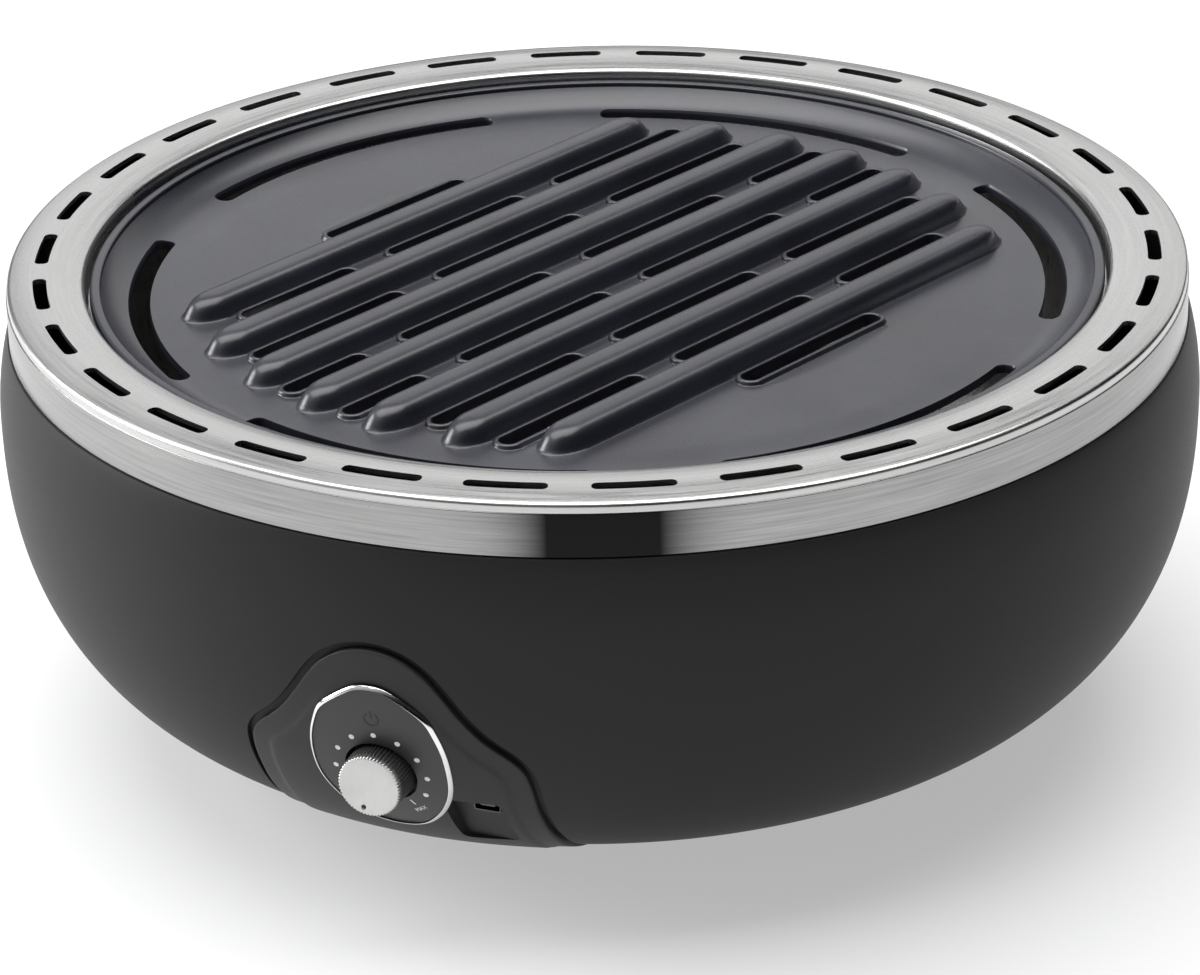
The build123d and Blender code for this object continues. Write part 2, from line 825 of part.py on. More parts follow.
# Basket: tapered side with upright slots, a floor with rings of slots and a rolled rim
basket_base = basket_radius - basket_taper
with BuildPart() as charcoal_basket:
    with BuildSketch(Plane.XZ):
        with BuildLine():
            Polyline(
                (0, tray_top_z),
                (basket_base, tray_top_z),
                (basket_radius, basket_top_z - basket_sheet),
                (basket_radius + basket_rim, basket_top_z - basket_sheet),
                (basket_radius + basket_rim, basket_top_z),
                (basket_radius - basket_sheet, basket_top_z),
                (basket_base - basket_sheet, tray_top_z + basket_sheet),
                (0, tray_top_z + basket_sheet),
                close=True,
            )
        make_face()
    revolve(axis=Axis.Z)
    with BuildSketch(Plane.YZ.offset(basket_base / 2)):
        with Locations((0, (tray_top_z + basket_top_z) / 2)):
            SlotOverall(basket_slot_height, basket_slot_width, rotation=90)
    slot = extrude(amount=basket_radius, mode=Mode.PRIVATE)
    with PolarLocations(0, basket_slots):
        add(slot, mode=Mode.SUBTRACT)
    with BuildSketch(Plane.XY.offset(tray_top_z)):
        for index, circle in enumerate(floor_circles):
            with PolarLocations(0, floor_slots, start_angle=index * floor_turn):
                add(arc_window(circle, floor_slot_width, floor_slot_angle, floor_slot_corner))
    extrude(amount=basket_sheet, mode=Mode.SUBTRACT)
charcoal_basket.part.label = "charcoal_basket"
export_step(charcoal_basket.part, "parts/charcoal_basket.step")

# Lid of the basket: raised disc with slots, a skirt that goes into the basket and a grip
lid_radius = basket_radius + basket_rim
skirt_radius = basket_radius - basket_sheet - lid_gap
lid_crown = skirt_radius - lid_shoulder
lid_top_z = basket_top_z + basket_sheet + lid_rise
with BuildPart() as basket_lid:
    with BuildSketch(Plane.XZ):
        with BuildLine():
            Polyline(
                (0, lid_top_z),
                (lid_crown, lid_top_z),
                (skirt_radius, basket_top_z + basket_sheet),
                (lid_radius, basket_top_z + basket_sheet),
                (lid_radius, basket_top_z),
                (skirt_radius, basket_top_z),
                (skirt_radius - basket_sheet / 2, basket_top_z - lid_skirt),
                (skirt_radius - 3 * basket_sheet / 2, basket_top_z - lid_skirt),
                (skirt_radius - basket_sheet, basket_top_z),
                (lid_crown, lid_top_z - basket_sheet),
                (0, lid_top_z - basket_sheet),
                close=True,
            )
        make_face()
    revolve(axis=Axis.Z)
    with BuildSketch(Plane.XY.offset(lid_top_z)):
        with PolarLocations(0, lid_slots):
            add(arc_window(lid_slot_circle, lid_slot_width, lid_slot_angle, floor_slot_corner))
    extrude(amount=-basket_sheet, mode=Mode.SUBTRACT)
    with Locations((0, 0, lid_top_z)):
        Box(
            grip_length,
            grip_width,
            grip_height,
            align=(Align.CENTER, Align.CENTER, Align.MIN),
        )
        Box(
            grip_length - 2 * grip_foot,
            grip_width,
            grip_height - grip_sheet,
            align=(Align.CENTER, Align.CENTER, Align.MIN),
            mode=Mode.SUBTRACT,
        )
basket_lid.part.label = "basket_lid"
export_step(basket_lid.part, "parts/basket_lid.step")
print("tray, basket, lid", ignition_tray.part.volume, charcoal_basket.part.volume, basket_lid.part.volume)

# Control panel: skin, raised field, knob cup and socket moulding, hooks behind
with BuildPart() as panel_field:
    with BuildSketch(front):
        add(panel_shape(-panel_border))
    extrude(amount=front_run)
    add(bowl_form(panel_proud + panel_pad), mode=Mode.INTERSECT)
    add(panel_back, mode=Mode.SUBTRACT)

with BuildPart() as knob_cup:
    with BuildSketch(Plane.XZ.offset(cup_back)):
        with Locations((0, knob_z)):
            Circle(cup_radius)
    extrude(amount=knob_back - cup_back)
    add(panel_skin, mode=Mode.INTERSECT)

with BuildPart() as socket_mould:
    with BuildSketch(front):
        add(usb_window.sketch)
        offset(amount=-face_gap)
    extrude(amount=usb_front - cup_wall - floor_radius + overrun)
    add(panel_back, mode=Mode.INTERSECT)
    with BuildSketch(recess_plane.offset(-cup_wall)):
        Rectangle(2 * front_run, 2 * front_run)
    extrude(amount=-front_run, mode=Mode.SUBTRACT)

with BuildPart() as control_panel:
    with BuildSketch(front):
        add(panel_shape(0))
    extrude(amount=front_run)
    add(panel_skin, mode=Mode.INTERSECT)
    add(panel_back, mode=Mode.SUBTRACT)
    add(panel_field.part)
    add(knob_cup.part)
    add(socket_mould.part)
    # the knob's well and the hole of the bush in its floor
    with BuildSketch(Plane.XZ.offset(well_back)):
        with Locations((0, knob_z)):
            Circle(well_radius)
    extrude(amount=overrun, mode=Mode.SUBTRACT)
    with BuildSketch(Plane.XZ.offset(cup_back)):
        with Locations((0, knob_z)):
            Circle(bush_radius + running_gap)
    extrude(amount=well_floor, mode=Mode.SUBTRACT)
    # the socket's recess and opening
    add(recess_cut.part, mode=Mode.SUBTRACT)
    with BuildSketch(front):
        with Locations((usb_x, usb_z)):
            Rectangle(usb_width + 2 * face_gap, usb_height + 2 * face_gap)
    extrude(amount=front_run, mode=Mode.SUBTRACT)
    add(hook_pegs.part)
    add(hook_barbs.part)
control_panel.part.label = "control_panel"
export_step(control_panel.part, "parts/control_panel.step")

# Dial face, and the bright line round it
with BuildPart() as dial_plate:
    with BuildSketch(front):
        add(dial_shape(0))
    extrude(amount=front_run)
    add(dial_face, mode=Mode.INTERSECT)
    add(dial_seat, mode=Mode.SUBTRACT)
    with BuildSketch(front):
        with Locations((0, knob_z)):
            Circle(well_radius)
    extrude(amount=front_run, mode=Mode.SUBTRACT)
dial_plate.part.label = "dial_plate"
export_step(dial_plate.part, "parts/dial_plate.step")

with BuildPart() as dial_trim:
    with BuildSketch(front):
        add(dial_shape(trim_width))
        add(dial_shape(running_gap), mode=Mode.SUBTRACT)
    extrude(amount=front_run)
    add(trim_face, mode=Mode.INTERSECT)
    add(dial_seat, mode=Mode.SUBTRACT)
dial_trim.part.label = "dial_trim"
export_step(dial_trim.part, "parts/dial_trim.step")
print("panel, dial, trim", control_panel.part.volume, dial_plate.part.volume, dial_trim.part.volume)

# Knob: toothed skirt with a web and a hub, and the cap on its front
with BuildPart() as knob_skirt:
    with BuildSketch(Plane.XZ.offset(knob_back)):
        with Locations((0, knob_z)):
            add(toothed(knob_radius))
            Circle(knob_radius - knob_wall, mode=Mode.SUBTRACT)
            Circle(knob_hub)
    extrude(amount=knob_length)
    with BuildSketch(Plane.XZ.offset(cap_back - knob_web)):
        with Locations((0, knob_z)):
            Circle(knob_radius - knob_wall)
    extrude(amount=knob_web)
    with BuildSketch(Plane.XZ.offset(knob_back)):
        with Locations((0, knob_z)):
            Circle(stem_radius + running_gap)
    extrude(amount=knob_length - knob_web, mode=Mode.SUBTRACT)
    # room for the nut and the bush inside the hub's foot
    with BuildSketch(Plane.XZ.offset(knob_back)):
        with Locations((0, knob_z)):
            Circle(knob_radius - knob_wall)
    extrude(amount=nut_thickness + bush_length - well_floor, mode=Mode.SUBTRACT)
knob_skirt.part.label = "knob_skirt"
export_step(knob_skirt.part, "parts/knob_skirt.step")

with BuildPart() as knob_cap:
    with BuildSketch(Plane.XZ.offset(cap_back)):
        with Locations((0, knob_z)):
            add(toothed(cap_radius))
    extrude(amount=cap_sheet - cap_round)
    with BuildSketch(Plane.XZ.offset(knob_front - cap_round)):
        with Locations((0, knob_z)):
            Circle(cap_radius - tooth_depth)
    extrude(amount=cap_round, taper=cap_taper)
    with BuildSketch(Plane.XZ.offset(knob_front)):
        with Locations((0, knob_z)):
            with PolarLocations(cap_dot_circle, 1, start_angle=cap_dot_turn):
                Circle(cap_dot_radius)
    extrude(amount=-cap_dot_depth, mode=Mode.SUBTRACT)
knob_cap.part.label = "knob_cap"
export_step(knob_cap.part, "parts/knob_cap.step")

with BuildPart() as knob_shaft:
    with BuildSketch(Plane.XZ.offset(cup_back - stem_depth)):
        with Locations((0, knob_z)):
            Circle(stem_radius)
    extrude(amount=cap_back - knob_web - cup_back + stem_depth)
knob_shaft.part.label = "knob_shaft"
export_step(knob_shaft.part, "parts/knob_shaft.step")

# Potentiometer: body behind the cup, bush through it, three pins down to the board
with BuildPart() as potentiometer:
    with BuildSketch(Plane.XZ.offset(pot_back)):
        with Locations((0, knob_z)):
            Circle(pot_radius)
    extrude(amount=pot_depth)
    with BuildSketch(Plane.XZ.offset(cup_back)):
        with Locations((0, knob_z)):
            Circle(bush_radius)
    extrude(amount=bush_length)
    with BuildSketch(Plane.XZ.offset(cup_back - stem_depth - running_gap)):
        with Locations((0, knob_z)):
            Circle(stem_radius + running_gap)
    extrude(amount=overrun, mode=Mode.SUBTRACT)
    with BuildSketch(Plane.XZ.offset(pot_back)):
        with GridLocations(pin_pitch, 0, 3, 1):
            with Locations((0, knob_z - pin_drop)):
                Rectangle(pin_width, pin_width)
    extrude(amount=-pin_run)
    with BuildSketch(Plane.XY.offset(deck_z)):
        with GridLocations(pin_pitch, 0, 3, 1):
            with Locations((0, pin_run - pot_back - pin_width / 2)):
                Rectangle(pin_width, pin_width)
    extrude(amount=knob_z - pin_drop - deck_z)
potentiometer.part.label = "potentiometer"
export_step(potentiometer.part, "parts/potentiometer.step")

with BuildPart() as potentiometer_nut:
    with BuildSketch(Plane.XZ.offset(well_back)):
        with Locations((0, knob_z)):
            RegularPolygon(nut_width / 2, 6, major_radius=False)
            Circle(bush_radius + running_gap, mode=Mode.SUBTRACT)
    extrude(amount=nut_thickness)
potentiometer_nut.part.label = "potentiometer_nut"
export_step(potentiometer_nut.part, "parts/potentiometer_nut.step")

# Micro-USB socket: folded shell with its tongue, standing on the board
with BuildPart() as usb_socket:
    with BuildSketch(Plane.XZ.offset(usb_front)):
        with Locations((usb_x, usb_z)):
            RectangleRounded(usb_width, usb_height, usb_round)
    extrude(amount=-usb_length)
    with BuildSketch(Plane.XZ.offset(usb_front)):
        with Locations((usb_x, usb_z)):
            RectangleRounded(usb_width - 2 * usb_wall, usb_height - 2 * usb_wall, usb_round - usb_wall)
    extrude(amount=usb_wall - usb_length, mode=Mode.SUBTRACT)
    with BuildSketch(Plane.XZ.offset(usb_front - usb_wall)):
        with Locations((usb_x, usb_z + usb_tongue / 2)):
            Rectangle(usb_tongue_width, usb_tongue)
    extrude(amount=2 * usb_wall - usb_length)
usb_socket.part.label = "usb_socket"
export_step(usb_socket.part, "parts/usb_socket.step")

# Control board on the bowl's posts, with its screws
with BuildPart() as control_board:
    with BuildSketch(Plane.XY.offset(board_z)):
        with Locations((0, -board_back - board_depth / 2)):
            Rectangle(board_width, board_depth)
        with Locations(*post_places):
            Circle(screw_radius + running_gap, mode=Mode.SUBTRACT)
    extrude(amount=board_sheet)
    with BuildSketch(Plane.XY.offset(deck_z)):
        with Locations((0, -parts_y)):
            Rectangle(chip_size, chip_size)
    extrude(amount=chip_height)
    with BuildSketch(Plane.XY.offset(deck_z)):
        with Locations((-capacitor_x, -parts_y), (capacitor_x, -parts_y)):
            Circle(capacitor_radius)
    extrude(amount=capacitor_height)
control_board.part.label = "control_board"
export_step(control_board.part, "parts/control_board.step")

board_screw = cross_screw(board_screw_length)
with BuildPart() as board_screws:
    with Locations(*[(x, y, deck_z) for x, y in post_places]):
        add(board_screw)
board_screws.part.label = "board_screws"
export_step(board_screws.part, "parts/board_screws.step")
print("knob, potentiometer, board", knob_skirt.part.volume, potentiometer.part.volume)

# Cells side by side in two pairs, between contacts at the ends and at the middle wall
pair_length = cell_length + cell_nub
box_inner_x = partition / 2 + contact_sheet + pair_length + contact_sheet
box_inner_y = 2 * cell_radius + cell_gap / 2 + cell_gap
box_rows = [box_centre_y + side * (cell_radius + cell_gap / 2) for side in (-1, 1)]
door_top_z = foot_gap + door_sheet
cell_z = door_top_z + cell_gap + cell_radius
box_roof_z = cell_z + cell_radius + cell_gap
cell_start = partition / 2 + contact_sheet

with BuildPart() as battery_cells:
    for side in (-1, 1):
        for row, row_y in enumerate(box_rows):
            # in each row the nub points to +X, in the other to -X
            nub_way = 1 - 2 * row
            can_x = side * (cell_start + pair_length / 2) - nub_way * cell_nub / 2
            with Locations(Location((can_x, row_y, cell_z), (0, 90, 0))):
                Cylinder(cell_radius, cell_length)
            nub_x = can_x + nub_way * pair_length / 2
            with Locations(Location((nub_x, row_y, cell_z), (0, 90, 0))):
                Cylinder(nub_radius, cell_nub)
battery_cells.part.label = "battery_cells"
export_step(battery_cells.part, "parts/battery_cells.step")

contact_z = cover_z + contact_lift
contact_height = box_roof_z - contact_z
with BuildPart() as battery_contacts:
    with BuildSketch(Plane.XY.offset(contact_z)):
        for side in (-1, 1):
            for place_x in (cell_start - contact_sheet / 2, box_inner_x - contact_sheet / 2):
                with Locations(*[(side * place_x, row_y) for row_y in box_rows]):
                    Rectangle(contact_sheet, contact_width)
    extrude(amount=contact_height)
battery_contacts.part.label = "battery_contacts"
export_step(battery_contacts.part, "parts/battery_contacts.step")

# Battery box: an open-bottomed box on the cover, with a middle wall and two lugs
lug_places = [(side * (box_inner_x + box_wall + screw_head + seat_gap), box_lug_y) for side in (-1, 1)]
with BuildPart() as battery_box:
    with BuildSketch(Plane.XY.offset(cover_z)):
        with Locations((0, box_centre_y)):
            Rectangle(2 * (box_inner_x + box_wall), 2 * (box_inner_y + box_wall))
    extrude(amount=box_roof_z + box_wall - cover_z)
    fillet(battery_box.edges().filter_by(Axis.Z), radius=box_wall)
    with BuildSketch(Plane.XY.offset(cover_z)):
        with Locations(*lug_places):
            Circle(lug_radius)
    extrude(amount=lug_height)
    with BuildSketch(Plane.XY.offset(cover_z)):
        with Locations((0, box_centre_y)):
            Rectangle(2 * box_inner_x, 2 * box_inner_y)
        with Locations((0, box_centre_y)):
            Rectangle(partition, 2 * box_inner_y, mode=Mode.SUBTRACT)
        with Locations(*lug_places):
            Circle(screw_radius + running_gap)
    extrude(amount=box_roof_z - cover_z, mode=Mode.SUBTRACT)
battery_box.part.label = "battery_box"
export_step(battery_box.part, "parts/battery_box.step")

# Door of the cells: a plate with a round hinge edge, two pins and grip grooves
door_z = foot_gap + door_sheet / 2
hinge_y = box_centre_y - box_inner_y + door_gap + door_sheet / 2
door_end_y = box_centre_y + box_inner_y - door_gap
door_half = box_inner_x - door_gap
with BuildPart() as battery_door:
    with BuildSketch(Plane.YZ.offset(-door_half)):
        with Locations(((hinge_y + door_end_y) / 2, door_z)):
            Rectangle(door_end_y - hinge_y, door_sheet)
        with Locations((hinge_y, door_z)):
            Circle(door_sheet / 2)
    extrude(amount=2 * door_half)
    with BuildSketch(Plane.YZ.offset(-door_half - door_pin_length)):
        with Locations((hinge_y, door_z)):
            Circle(door_pin_radius)
    extrude(amount=2 * (door_half + door_pin_length))
    with BuildSketch(Plane.XY.offset(foot_gap)):
        with Locations((0, door_end_y - grip_grooves * grip_groove_pitch)):
            with GridLocations(0, grip_groove_pitch, 1, grip_grooves):
                Rectangle(grip_groove_length, grip_groove_width)
    extrude(amount=grip_groove_depth, mode=Mode.SUBTRACT)
battery_door.part.label = "battery_door"
export_step(battery_door.part, "parts/battery_door.step")

# Cover under the bowl: air intake, door opening, holes for screws and feet
foot_places = PolarLocations(foot_circle, foot_count, start_angle=45)
with BuildPart() as base_cover:
    with BuildSketch(Plane.XY.offset(foot_gap)):
        Circle(cover_radius)
    extrude(amount=cover_sheet)
    chamfer(base_cover.edges().group_by(Axis.Z)[0], length=cover_round)
    with BuildSketch(Plane.XY.offset(foot_gap)):
        for index, circle in enumerate(intake_circles):
            with PolarLocations(0, intake_slots, start_angle=index * intake_turn):
                add(arc_window(circle, intake_width, intake_angle, intake_corner))
        with Locations((0, box_centre_y)):
            Rectangle(2 * box_inner_x, 2 * box_inner_y)
        with foot_places:
            Circle(foot_stem + running_gap)
        with PolarLocations(base_screw_circle, base_screws_count):
            Circle(screw_radius + running_gap)
    extrude(amount=cover_sheet, mode=Mode.SUBTRACT)
    with BuildSketch(Plane.XY.offset(foot_gap)):
        with PolarLocations(base_screw_circle, base_screws_count):
            Circle(screw_head + face_gap)
    extrude(amount=counterbore_depth, mode=Mode.SUBTRACT)
    # blind holes for the screws of the fan housing and of the battery box
    with BuildSketch(Plane.XY.offset(cover_z)):
        with Locations(*lug_places):
            Circle(screw_radius + running_gap)
        for angle in lug_angles:
            with PolarLocations(lug_circle, 1, start_angle=angle):
                Circle(screw_radius + running_gap)
    extrude(amount=lug_height - housing_screw_length - running_gap, mode=Mode.SUBTRACT)
    with BuildSketch(Plane.YZ.offset(-door_half - door_pin_length - running_gap)):
        with Locations((hinge_y, door_z)):
            Circle(door_pin_radius + running_gap)
    extrude(amount=2 * (door_half + door_pin_length + running_gap), mode=Mode.SUBTRACT)
base_cover.part.label = "base_cover"
export_step(base_cover.part, "parts/base_cover.step")

base_screw = cross_screw(base_screw_length)
with BuildPart() as base_screws:
    with PolarLocations(base_screw_circle, base_screws_count):
        with Locations(Location((0, 0, foot_gap + counterbore_depth), (180, 0, 0))):
            add(base_screw)
base_screws.part.label = "base_screws"
export_step(base_screws.part, "parts/base_screws.step")

with BuildPart() as rubber_feet:
    with foot_places:
        Cylinder(foot_radius, foot_gap, align=(Align.CENTER, Align.CENTER, Align.MIN))
    fillet(rubber_feet.edges().group_by(Axis.Z)[0], radius=foot_round)
    with BuildSketch(Plane.XY.offset(foot_gap)):
        with foot_places:
            Circle(foot_stem)
    extrude(amount=cover_sheet)
    with BuildSketch(Plane.XY.offset(cover_z)):
        with foot_places:
            Circle(foot_head)
    extrude(amount=foot_head_height, taper=foot_head_taper)
rubber_feet.part.label = "rubber_feet"
export_step(rubber_feet.part, "parts/rubber_feet.step")
print("underside", base_cover.part.volume, battery_box.part.volume, battery_door.part.volume)

# Fan housing: duct with lugs, a flange with bosses, a nozzle, and the motor's cup on arms
housing_top_z = cover_z + housing_height
bore_radius = housing_radius - housing_wall
rotor_z = cover_z + rotor_lift
cup_z = rotor_z + rotor_height + motor_gap
motor_z = cup_z + cup_floor
nozzle_outer = nozzle_radius + nozzle_wall
housing_flange = housing_radius + flange_reach
with BuildPart() as fan_housing:
    with BuildSketch(Plane.XY.offset(cover_z)):
        Circle(housing_radius)
    extrude(amount=housing_height)
    with BuildSketch(Plane.XY.offset(cover_z)):
        for angle in lug_angles:
            with PolarLocations(lug_circle, 1, start_angle=angle):
                Circle(lug_radius)
    extrude(amount=lug_height)
    with BuildSketch(Plane.XY.offset(housing_top_z)):
        Circle(housing_flange)
    extrude(amount=-flange_sheet)
    with BuildSketch(Plane.XY.offset(housing_top_z)):
        for angle in shield_screw_angles:
            with PolarLocations(shield_screw_circle, 1, start_angle=angle):
                Circle(boss_radius)
    extrude(amount=-boss_height)
    with BuildSketch(Plane.XY.offset(housing_top_z)):
        Circle(nozzle_outer)
    extrude(amount=nozzle_height)
    with BuildSketch(Plane.XY.offset(cover_z)):
        Circle(bore_radius)
    extrude(amount=housing_height - flange_sheet, mode=Mode.SUBTRACT)
    with BuildSketch(Plane.XY.offset(cover_z)):
        Circle(nozzle_radius)
    extrude(amount=housing_height + nozzle_height, mode=Mode.SUBTRACT)
    with BuildSketch(Plane.XY.offset(cup_z + cup_floor)):
        Circle(motor_radius + motor_cup_wall)
        with PolarLocations(0, arm_count, start_angle=90):
            with Locations((bore_radius / 2 + housing_wall / 4, 0)):
                Rectangle(bore_radius + housing_wall / 2, arm_width)
    extrude(amount=motor_cup_height - cup_floor)
    with BuildSketch(Plane.XY.offset(cup_z)):
        Circle(motor_radius + motor_cup_wall)
    extrude(amount=cup_floor)
    with BuildSketch(Plane.XY.offset(motor_z)):
        Circle(motor_radius + running_gap)
    extrude(amount=motor_cup_height, mode=Mode.SUBTRACT)
    with BuildSketch(Plane.XY.offset(cup_z)):
        Circle(motor_boss_radius + running_gap)
    extrude(amount=cup_floor, mode=Mode.SUBTRACT)
    # blind holes of the shield's screws and the holes of the lugs
    with BuildSketch(Plane.XY.offset(housing_top_z)):
        for angle in shield_screw_angles:
            with PolarLocations(shield_screw_circle, 1, start_angle=angle):
                Circle(screw_radius + running_gap)
    extrude(amount=-boss_height, mode=Mode.SUBTRACT)
    with BuildSketch(Plane.XY.offset(cover_z)):
        for angle in lug_angles:
            with PolarLocations(lug_circle, 1, start_angle=angle):
                Circle(screw_radius + running_gap)
    extrude(amount=lug_height, mode=Mode.SUBTRACT)
fan_housing.part.label = "fan_housing"
export_step(fan_housing.part, "parts/fan_housing.step")

housing_screw = cross_screw(housing_screw_length)
with BuildPart() as housing_screws:
    for angle in lug_angles:
        with PolarLocations(lug_circle, 1, start_angle=angle):
            with Locations((0, 0, cover_z + lug_height)):
                add(housing_screw)
housing_screws.part.label = "housing_screws"
export_step(housing_screws.part, "parts/housing_screws.step")

with BuildPart() as box_screws:
    with Locations(*[(x, y, cover_z + lug_height) for x, y in lug_places]):
        add(housing_screw)
box_screws.part.label = "box_screws"
export_step(box_screws.part, "parts/box_screws.step")

with BuildPart() as fan_motor:
    with BuildSketch(Plane.XY.offset(motor_z)):
        Circle(motor_radius)
    extrude(amount=motor_height)
    fillet(fan_motor.edges().group_by(Axis.Z)[-1], radius=motor_round)
    with BuildSketch(Plane.XY.offset(cup_z)):
        Circle(motor_boss_radius)
    extrude(amount=cup_floor)
    with BuildSketch(Plane.XY.offset(cup_z)):
        Circle(fan_shaft_radius + running_gap)
    extrude(amount=cup_floor + shaft_depth + running_gap, mode=Mode.SUBTRACT)
fan_motor.part.label = "fan_motor"
export_step(fan_motor.part, "parts/fan_motor.step")

with BuildPart() as motor_shaft:
    with BuildSketch(Plane.XY.offset(rotor_z + rotor_floor)):
        Circle(fan_shaft_radius)
    extrude(amount=motor_z + shaft_depth - rotor_z - rotor_floor)
motor_shaft.part.label = "motor_shaft"
export_step(motor_shaft.part, "parts/motor_shaft.step")

# Rotor: hub with twisted blades
blade_start = hub_radius - blade_sheet
blade_end = bore_radius - tip_gap
blade_z = rotor_z + rotor_height / 2
with BuildPart() as blade:
    for reach, chord, pitch in (
        (blade_start, blade_root_chord, blade_root_pitch),
        (blade_end, blade_tip_chord, blade_tip_pitch),
    ):
        with BuildSketch(Plane(origin=(reach, 0, blade_z), x_dir=(0, 1, 0), z_dir=(1, 0, 0))):
            Rectangle(chord, blade_sheet, rotation=pitch)
    loft()

with BuildPart() as fan_rotor:
    with BuildSketch(Plane.XY.offset(rotor_z)):
        Circle(hub_radius)
    extrude(amount=rotor_height)
    fillet(fan_rotor.edges().group_by(Axis.Z)[0], radius=hub_round)
    with PolarLocations(0, blade_count):
        add(blade.part)
    with BuildSketch(Plane.XY.offset(rotor_z + rotor_floor)):
        Circle(fan_shaft_radius + running_gap)
    extrude(amount=rotor_height, mode=Mode.SUBTRACT)
fan_rotor.part.label = "fan_rotor"
export_step(fan_rotor.part, "parts/fan_rotor.step")

# Heat shield between the fire bowl and the fan, on the housing's flange
with BuildPart() as heat_shield:
    with BuildSketch(Plane.XY.offset(housing_top_z)):
        Circle(shield_radius)
    extrude(amount=shield_sheet)
    with BuildSketch(Plane.XY.offset(housing_top_z)):
        Circle(shield_radius)
        Circle(shield_radius - shield_sheet, mode=Mode.SUBTRACT)
    extrude(amount=-shield_rim)
    with BuildSketch(Plane.XY.offset(housing_top_z)):
        Circle(shield_hole)
        for angle in shield_screw_angles:
            with PolarLocations(shield_screw_circle, 1, start_angle=angle):
                Circle(screw_radius + running_gap)
    extrude(amount=shield_sheet, mode=Mode.SUBTRACT)
heat_shield.part.label = "heat_shield"
export_step(heat_shield.part, "parts/heat_shield.step")

shield_screw = cross_screw(shield_screw_length)
with BuildPart() as shield_screws:
    for angle in shield_screw_angles:
        with PolarLocations(shield_screw_circle, 1, start_angle=angle):
            with Locations((0, 0, housing_top_z + shield_sheet)):
                add(shield_screw)
shield_screws.part.label = "shield_screws"
export_step(shield_screws.part, "parts/shield_screws.step")
print("fan and shield", fan_housing.part.volume, fan_rotor.part.volume, heat_shield.part.volume)
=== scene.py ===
import bpy
import math
from bisect import bisect_left
from mathutils import Matrix, Vector


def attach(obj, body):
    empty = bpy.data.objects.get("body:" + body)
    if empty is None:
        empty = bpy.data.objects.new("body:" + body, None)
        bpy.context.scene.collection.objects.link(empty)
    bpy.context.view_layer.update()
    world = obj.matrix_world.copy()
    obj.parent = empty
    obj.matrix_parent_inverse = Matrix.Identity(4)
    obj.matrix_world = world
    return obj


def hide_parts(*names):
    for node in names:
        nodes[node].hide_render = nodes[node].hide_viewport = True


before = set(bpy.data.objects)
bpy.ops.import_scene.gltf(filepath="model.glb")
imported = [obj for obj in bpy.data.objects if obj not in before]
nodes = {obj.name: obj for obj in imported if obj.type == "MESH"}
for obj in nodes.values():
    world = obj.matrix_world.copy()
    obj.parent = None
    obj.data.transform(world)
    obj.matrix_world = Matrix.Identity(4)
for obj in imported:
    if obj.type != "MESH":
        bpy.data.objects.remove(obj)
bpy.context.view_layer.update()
mm = 0.001
print("frame loaded:", len(nodes), "nodes")


# Camera, from the ring's slots and the bowl's outline in the photograph
cameraView = {
    "place": (0.4601, -1.1974, 0.6741),
    "azimuth": 21.05,
    "elevation": 25.524,
    "roll": 1.4005,
    "lens": 143.53,
    "sensor": 36.0,
    "clip": (0.05, 100),
}

lampAim = (0, 0, 0.08)
lamps = {
    "keyLeft": {"place": (-2.1, -0.3, 0.9), "size": (1.1, 1.3), "power": 42.0},
    "topSheet": {"place": (-0.2, 0.3, 2.6), "size": (3.2, 2.6), "power": 108.0},
    "backCard": {"place": (-0.4, 2.2, 1.0), "size": (2.4, 0.8), "power": 6.0},
}

# The sky is bright on the left and dark towards the photographer
world = {
    "backdrop": (1.0, 1.0, 1.0, 1.0),
    "skyTop": (0.86, 0.87, 0.88, 1.0),
    "skyLow": (0.30, 0.30, 0.31, 1.0),
    "skyTopFrom": 0.7,
    "strength": 0.30,
    "left": {"aim": (-0.93, -0.20, 0.30), "from": -0.2, "to": 0.9, "away": 0.08, "near": 2.6},
    "photographer": {"aim": (0.36, -0.93, 0.0), "from": 0.7, "to": 0.96, "away": 1.0, "near": 0.08},
}

floorSheet = {"size": 30.0, "colour": (0.88, 0.88, 0.88, 1.0), "roughness": 0.6, "white": 0.44}


def addMath(tree, operation, first, second=None):
    # the second input is a socket, a number or nothing
    step = tree.nodes.new("ShaderNodeMath")
    step.operation = operation
    tree.links.new(first, step.inputs[0])
    if isinstance(second, bpy.types.NodeSocket):
        tree.links.new(second, step.inputs[1])
    elif second is not None:
        step.inputs[1].default_value = second
    return step.outputs[0]


def makeCamera():
    data = bpy.data.cameras.new("photoCamera")
    data.lens = cameraView["lens"]
    data.sensor_width = cameraView["sensor"]
    data.clip_start, data.clip_end = cameraView["clip"]
    camera = bpy.data.objects.new("photoCamera", data)
    bpy.context.scene.collection.objects.link(camera)
    turn = Matrix.Rotation(math.radians(cameraView["azimuth"]), 4, "Z")
    tilt = Matrix.Rotation(math.radians(90 - cameraView["elevation"]), 4, "X")
    roll = Matrix.Rotation(-math.radians(cameraView["roll"]), 4, "Z")
    camera.matrix_world = Matrix.Translation(cameraView["place"]) @ turn @ tilt @ roll
    bpy.context.scene.camera = camera


def makeLamps():
    for name, lamp in lamps.items():
        data = bpy.data.lights.new(name, "AREA")
        data.shape = "RECTANGLE"
        data.size, data.size_y = lamp["size"]
        data.energy = lamp["power"]
        light = bpy.data.objects.new(name, data)
        bpy.context.scene.collection.objects.link(light)
        place = Vector(lamp["place"])
        aim = Vector(lampAim) - place
        light.matrix_world = Matrix.Translation(place) @ aim.to_track_quat("-Z", "Y").to_matrix().to_4x4()


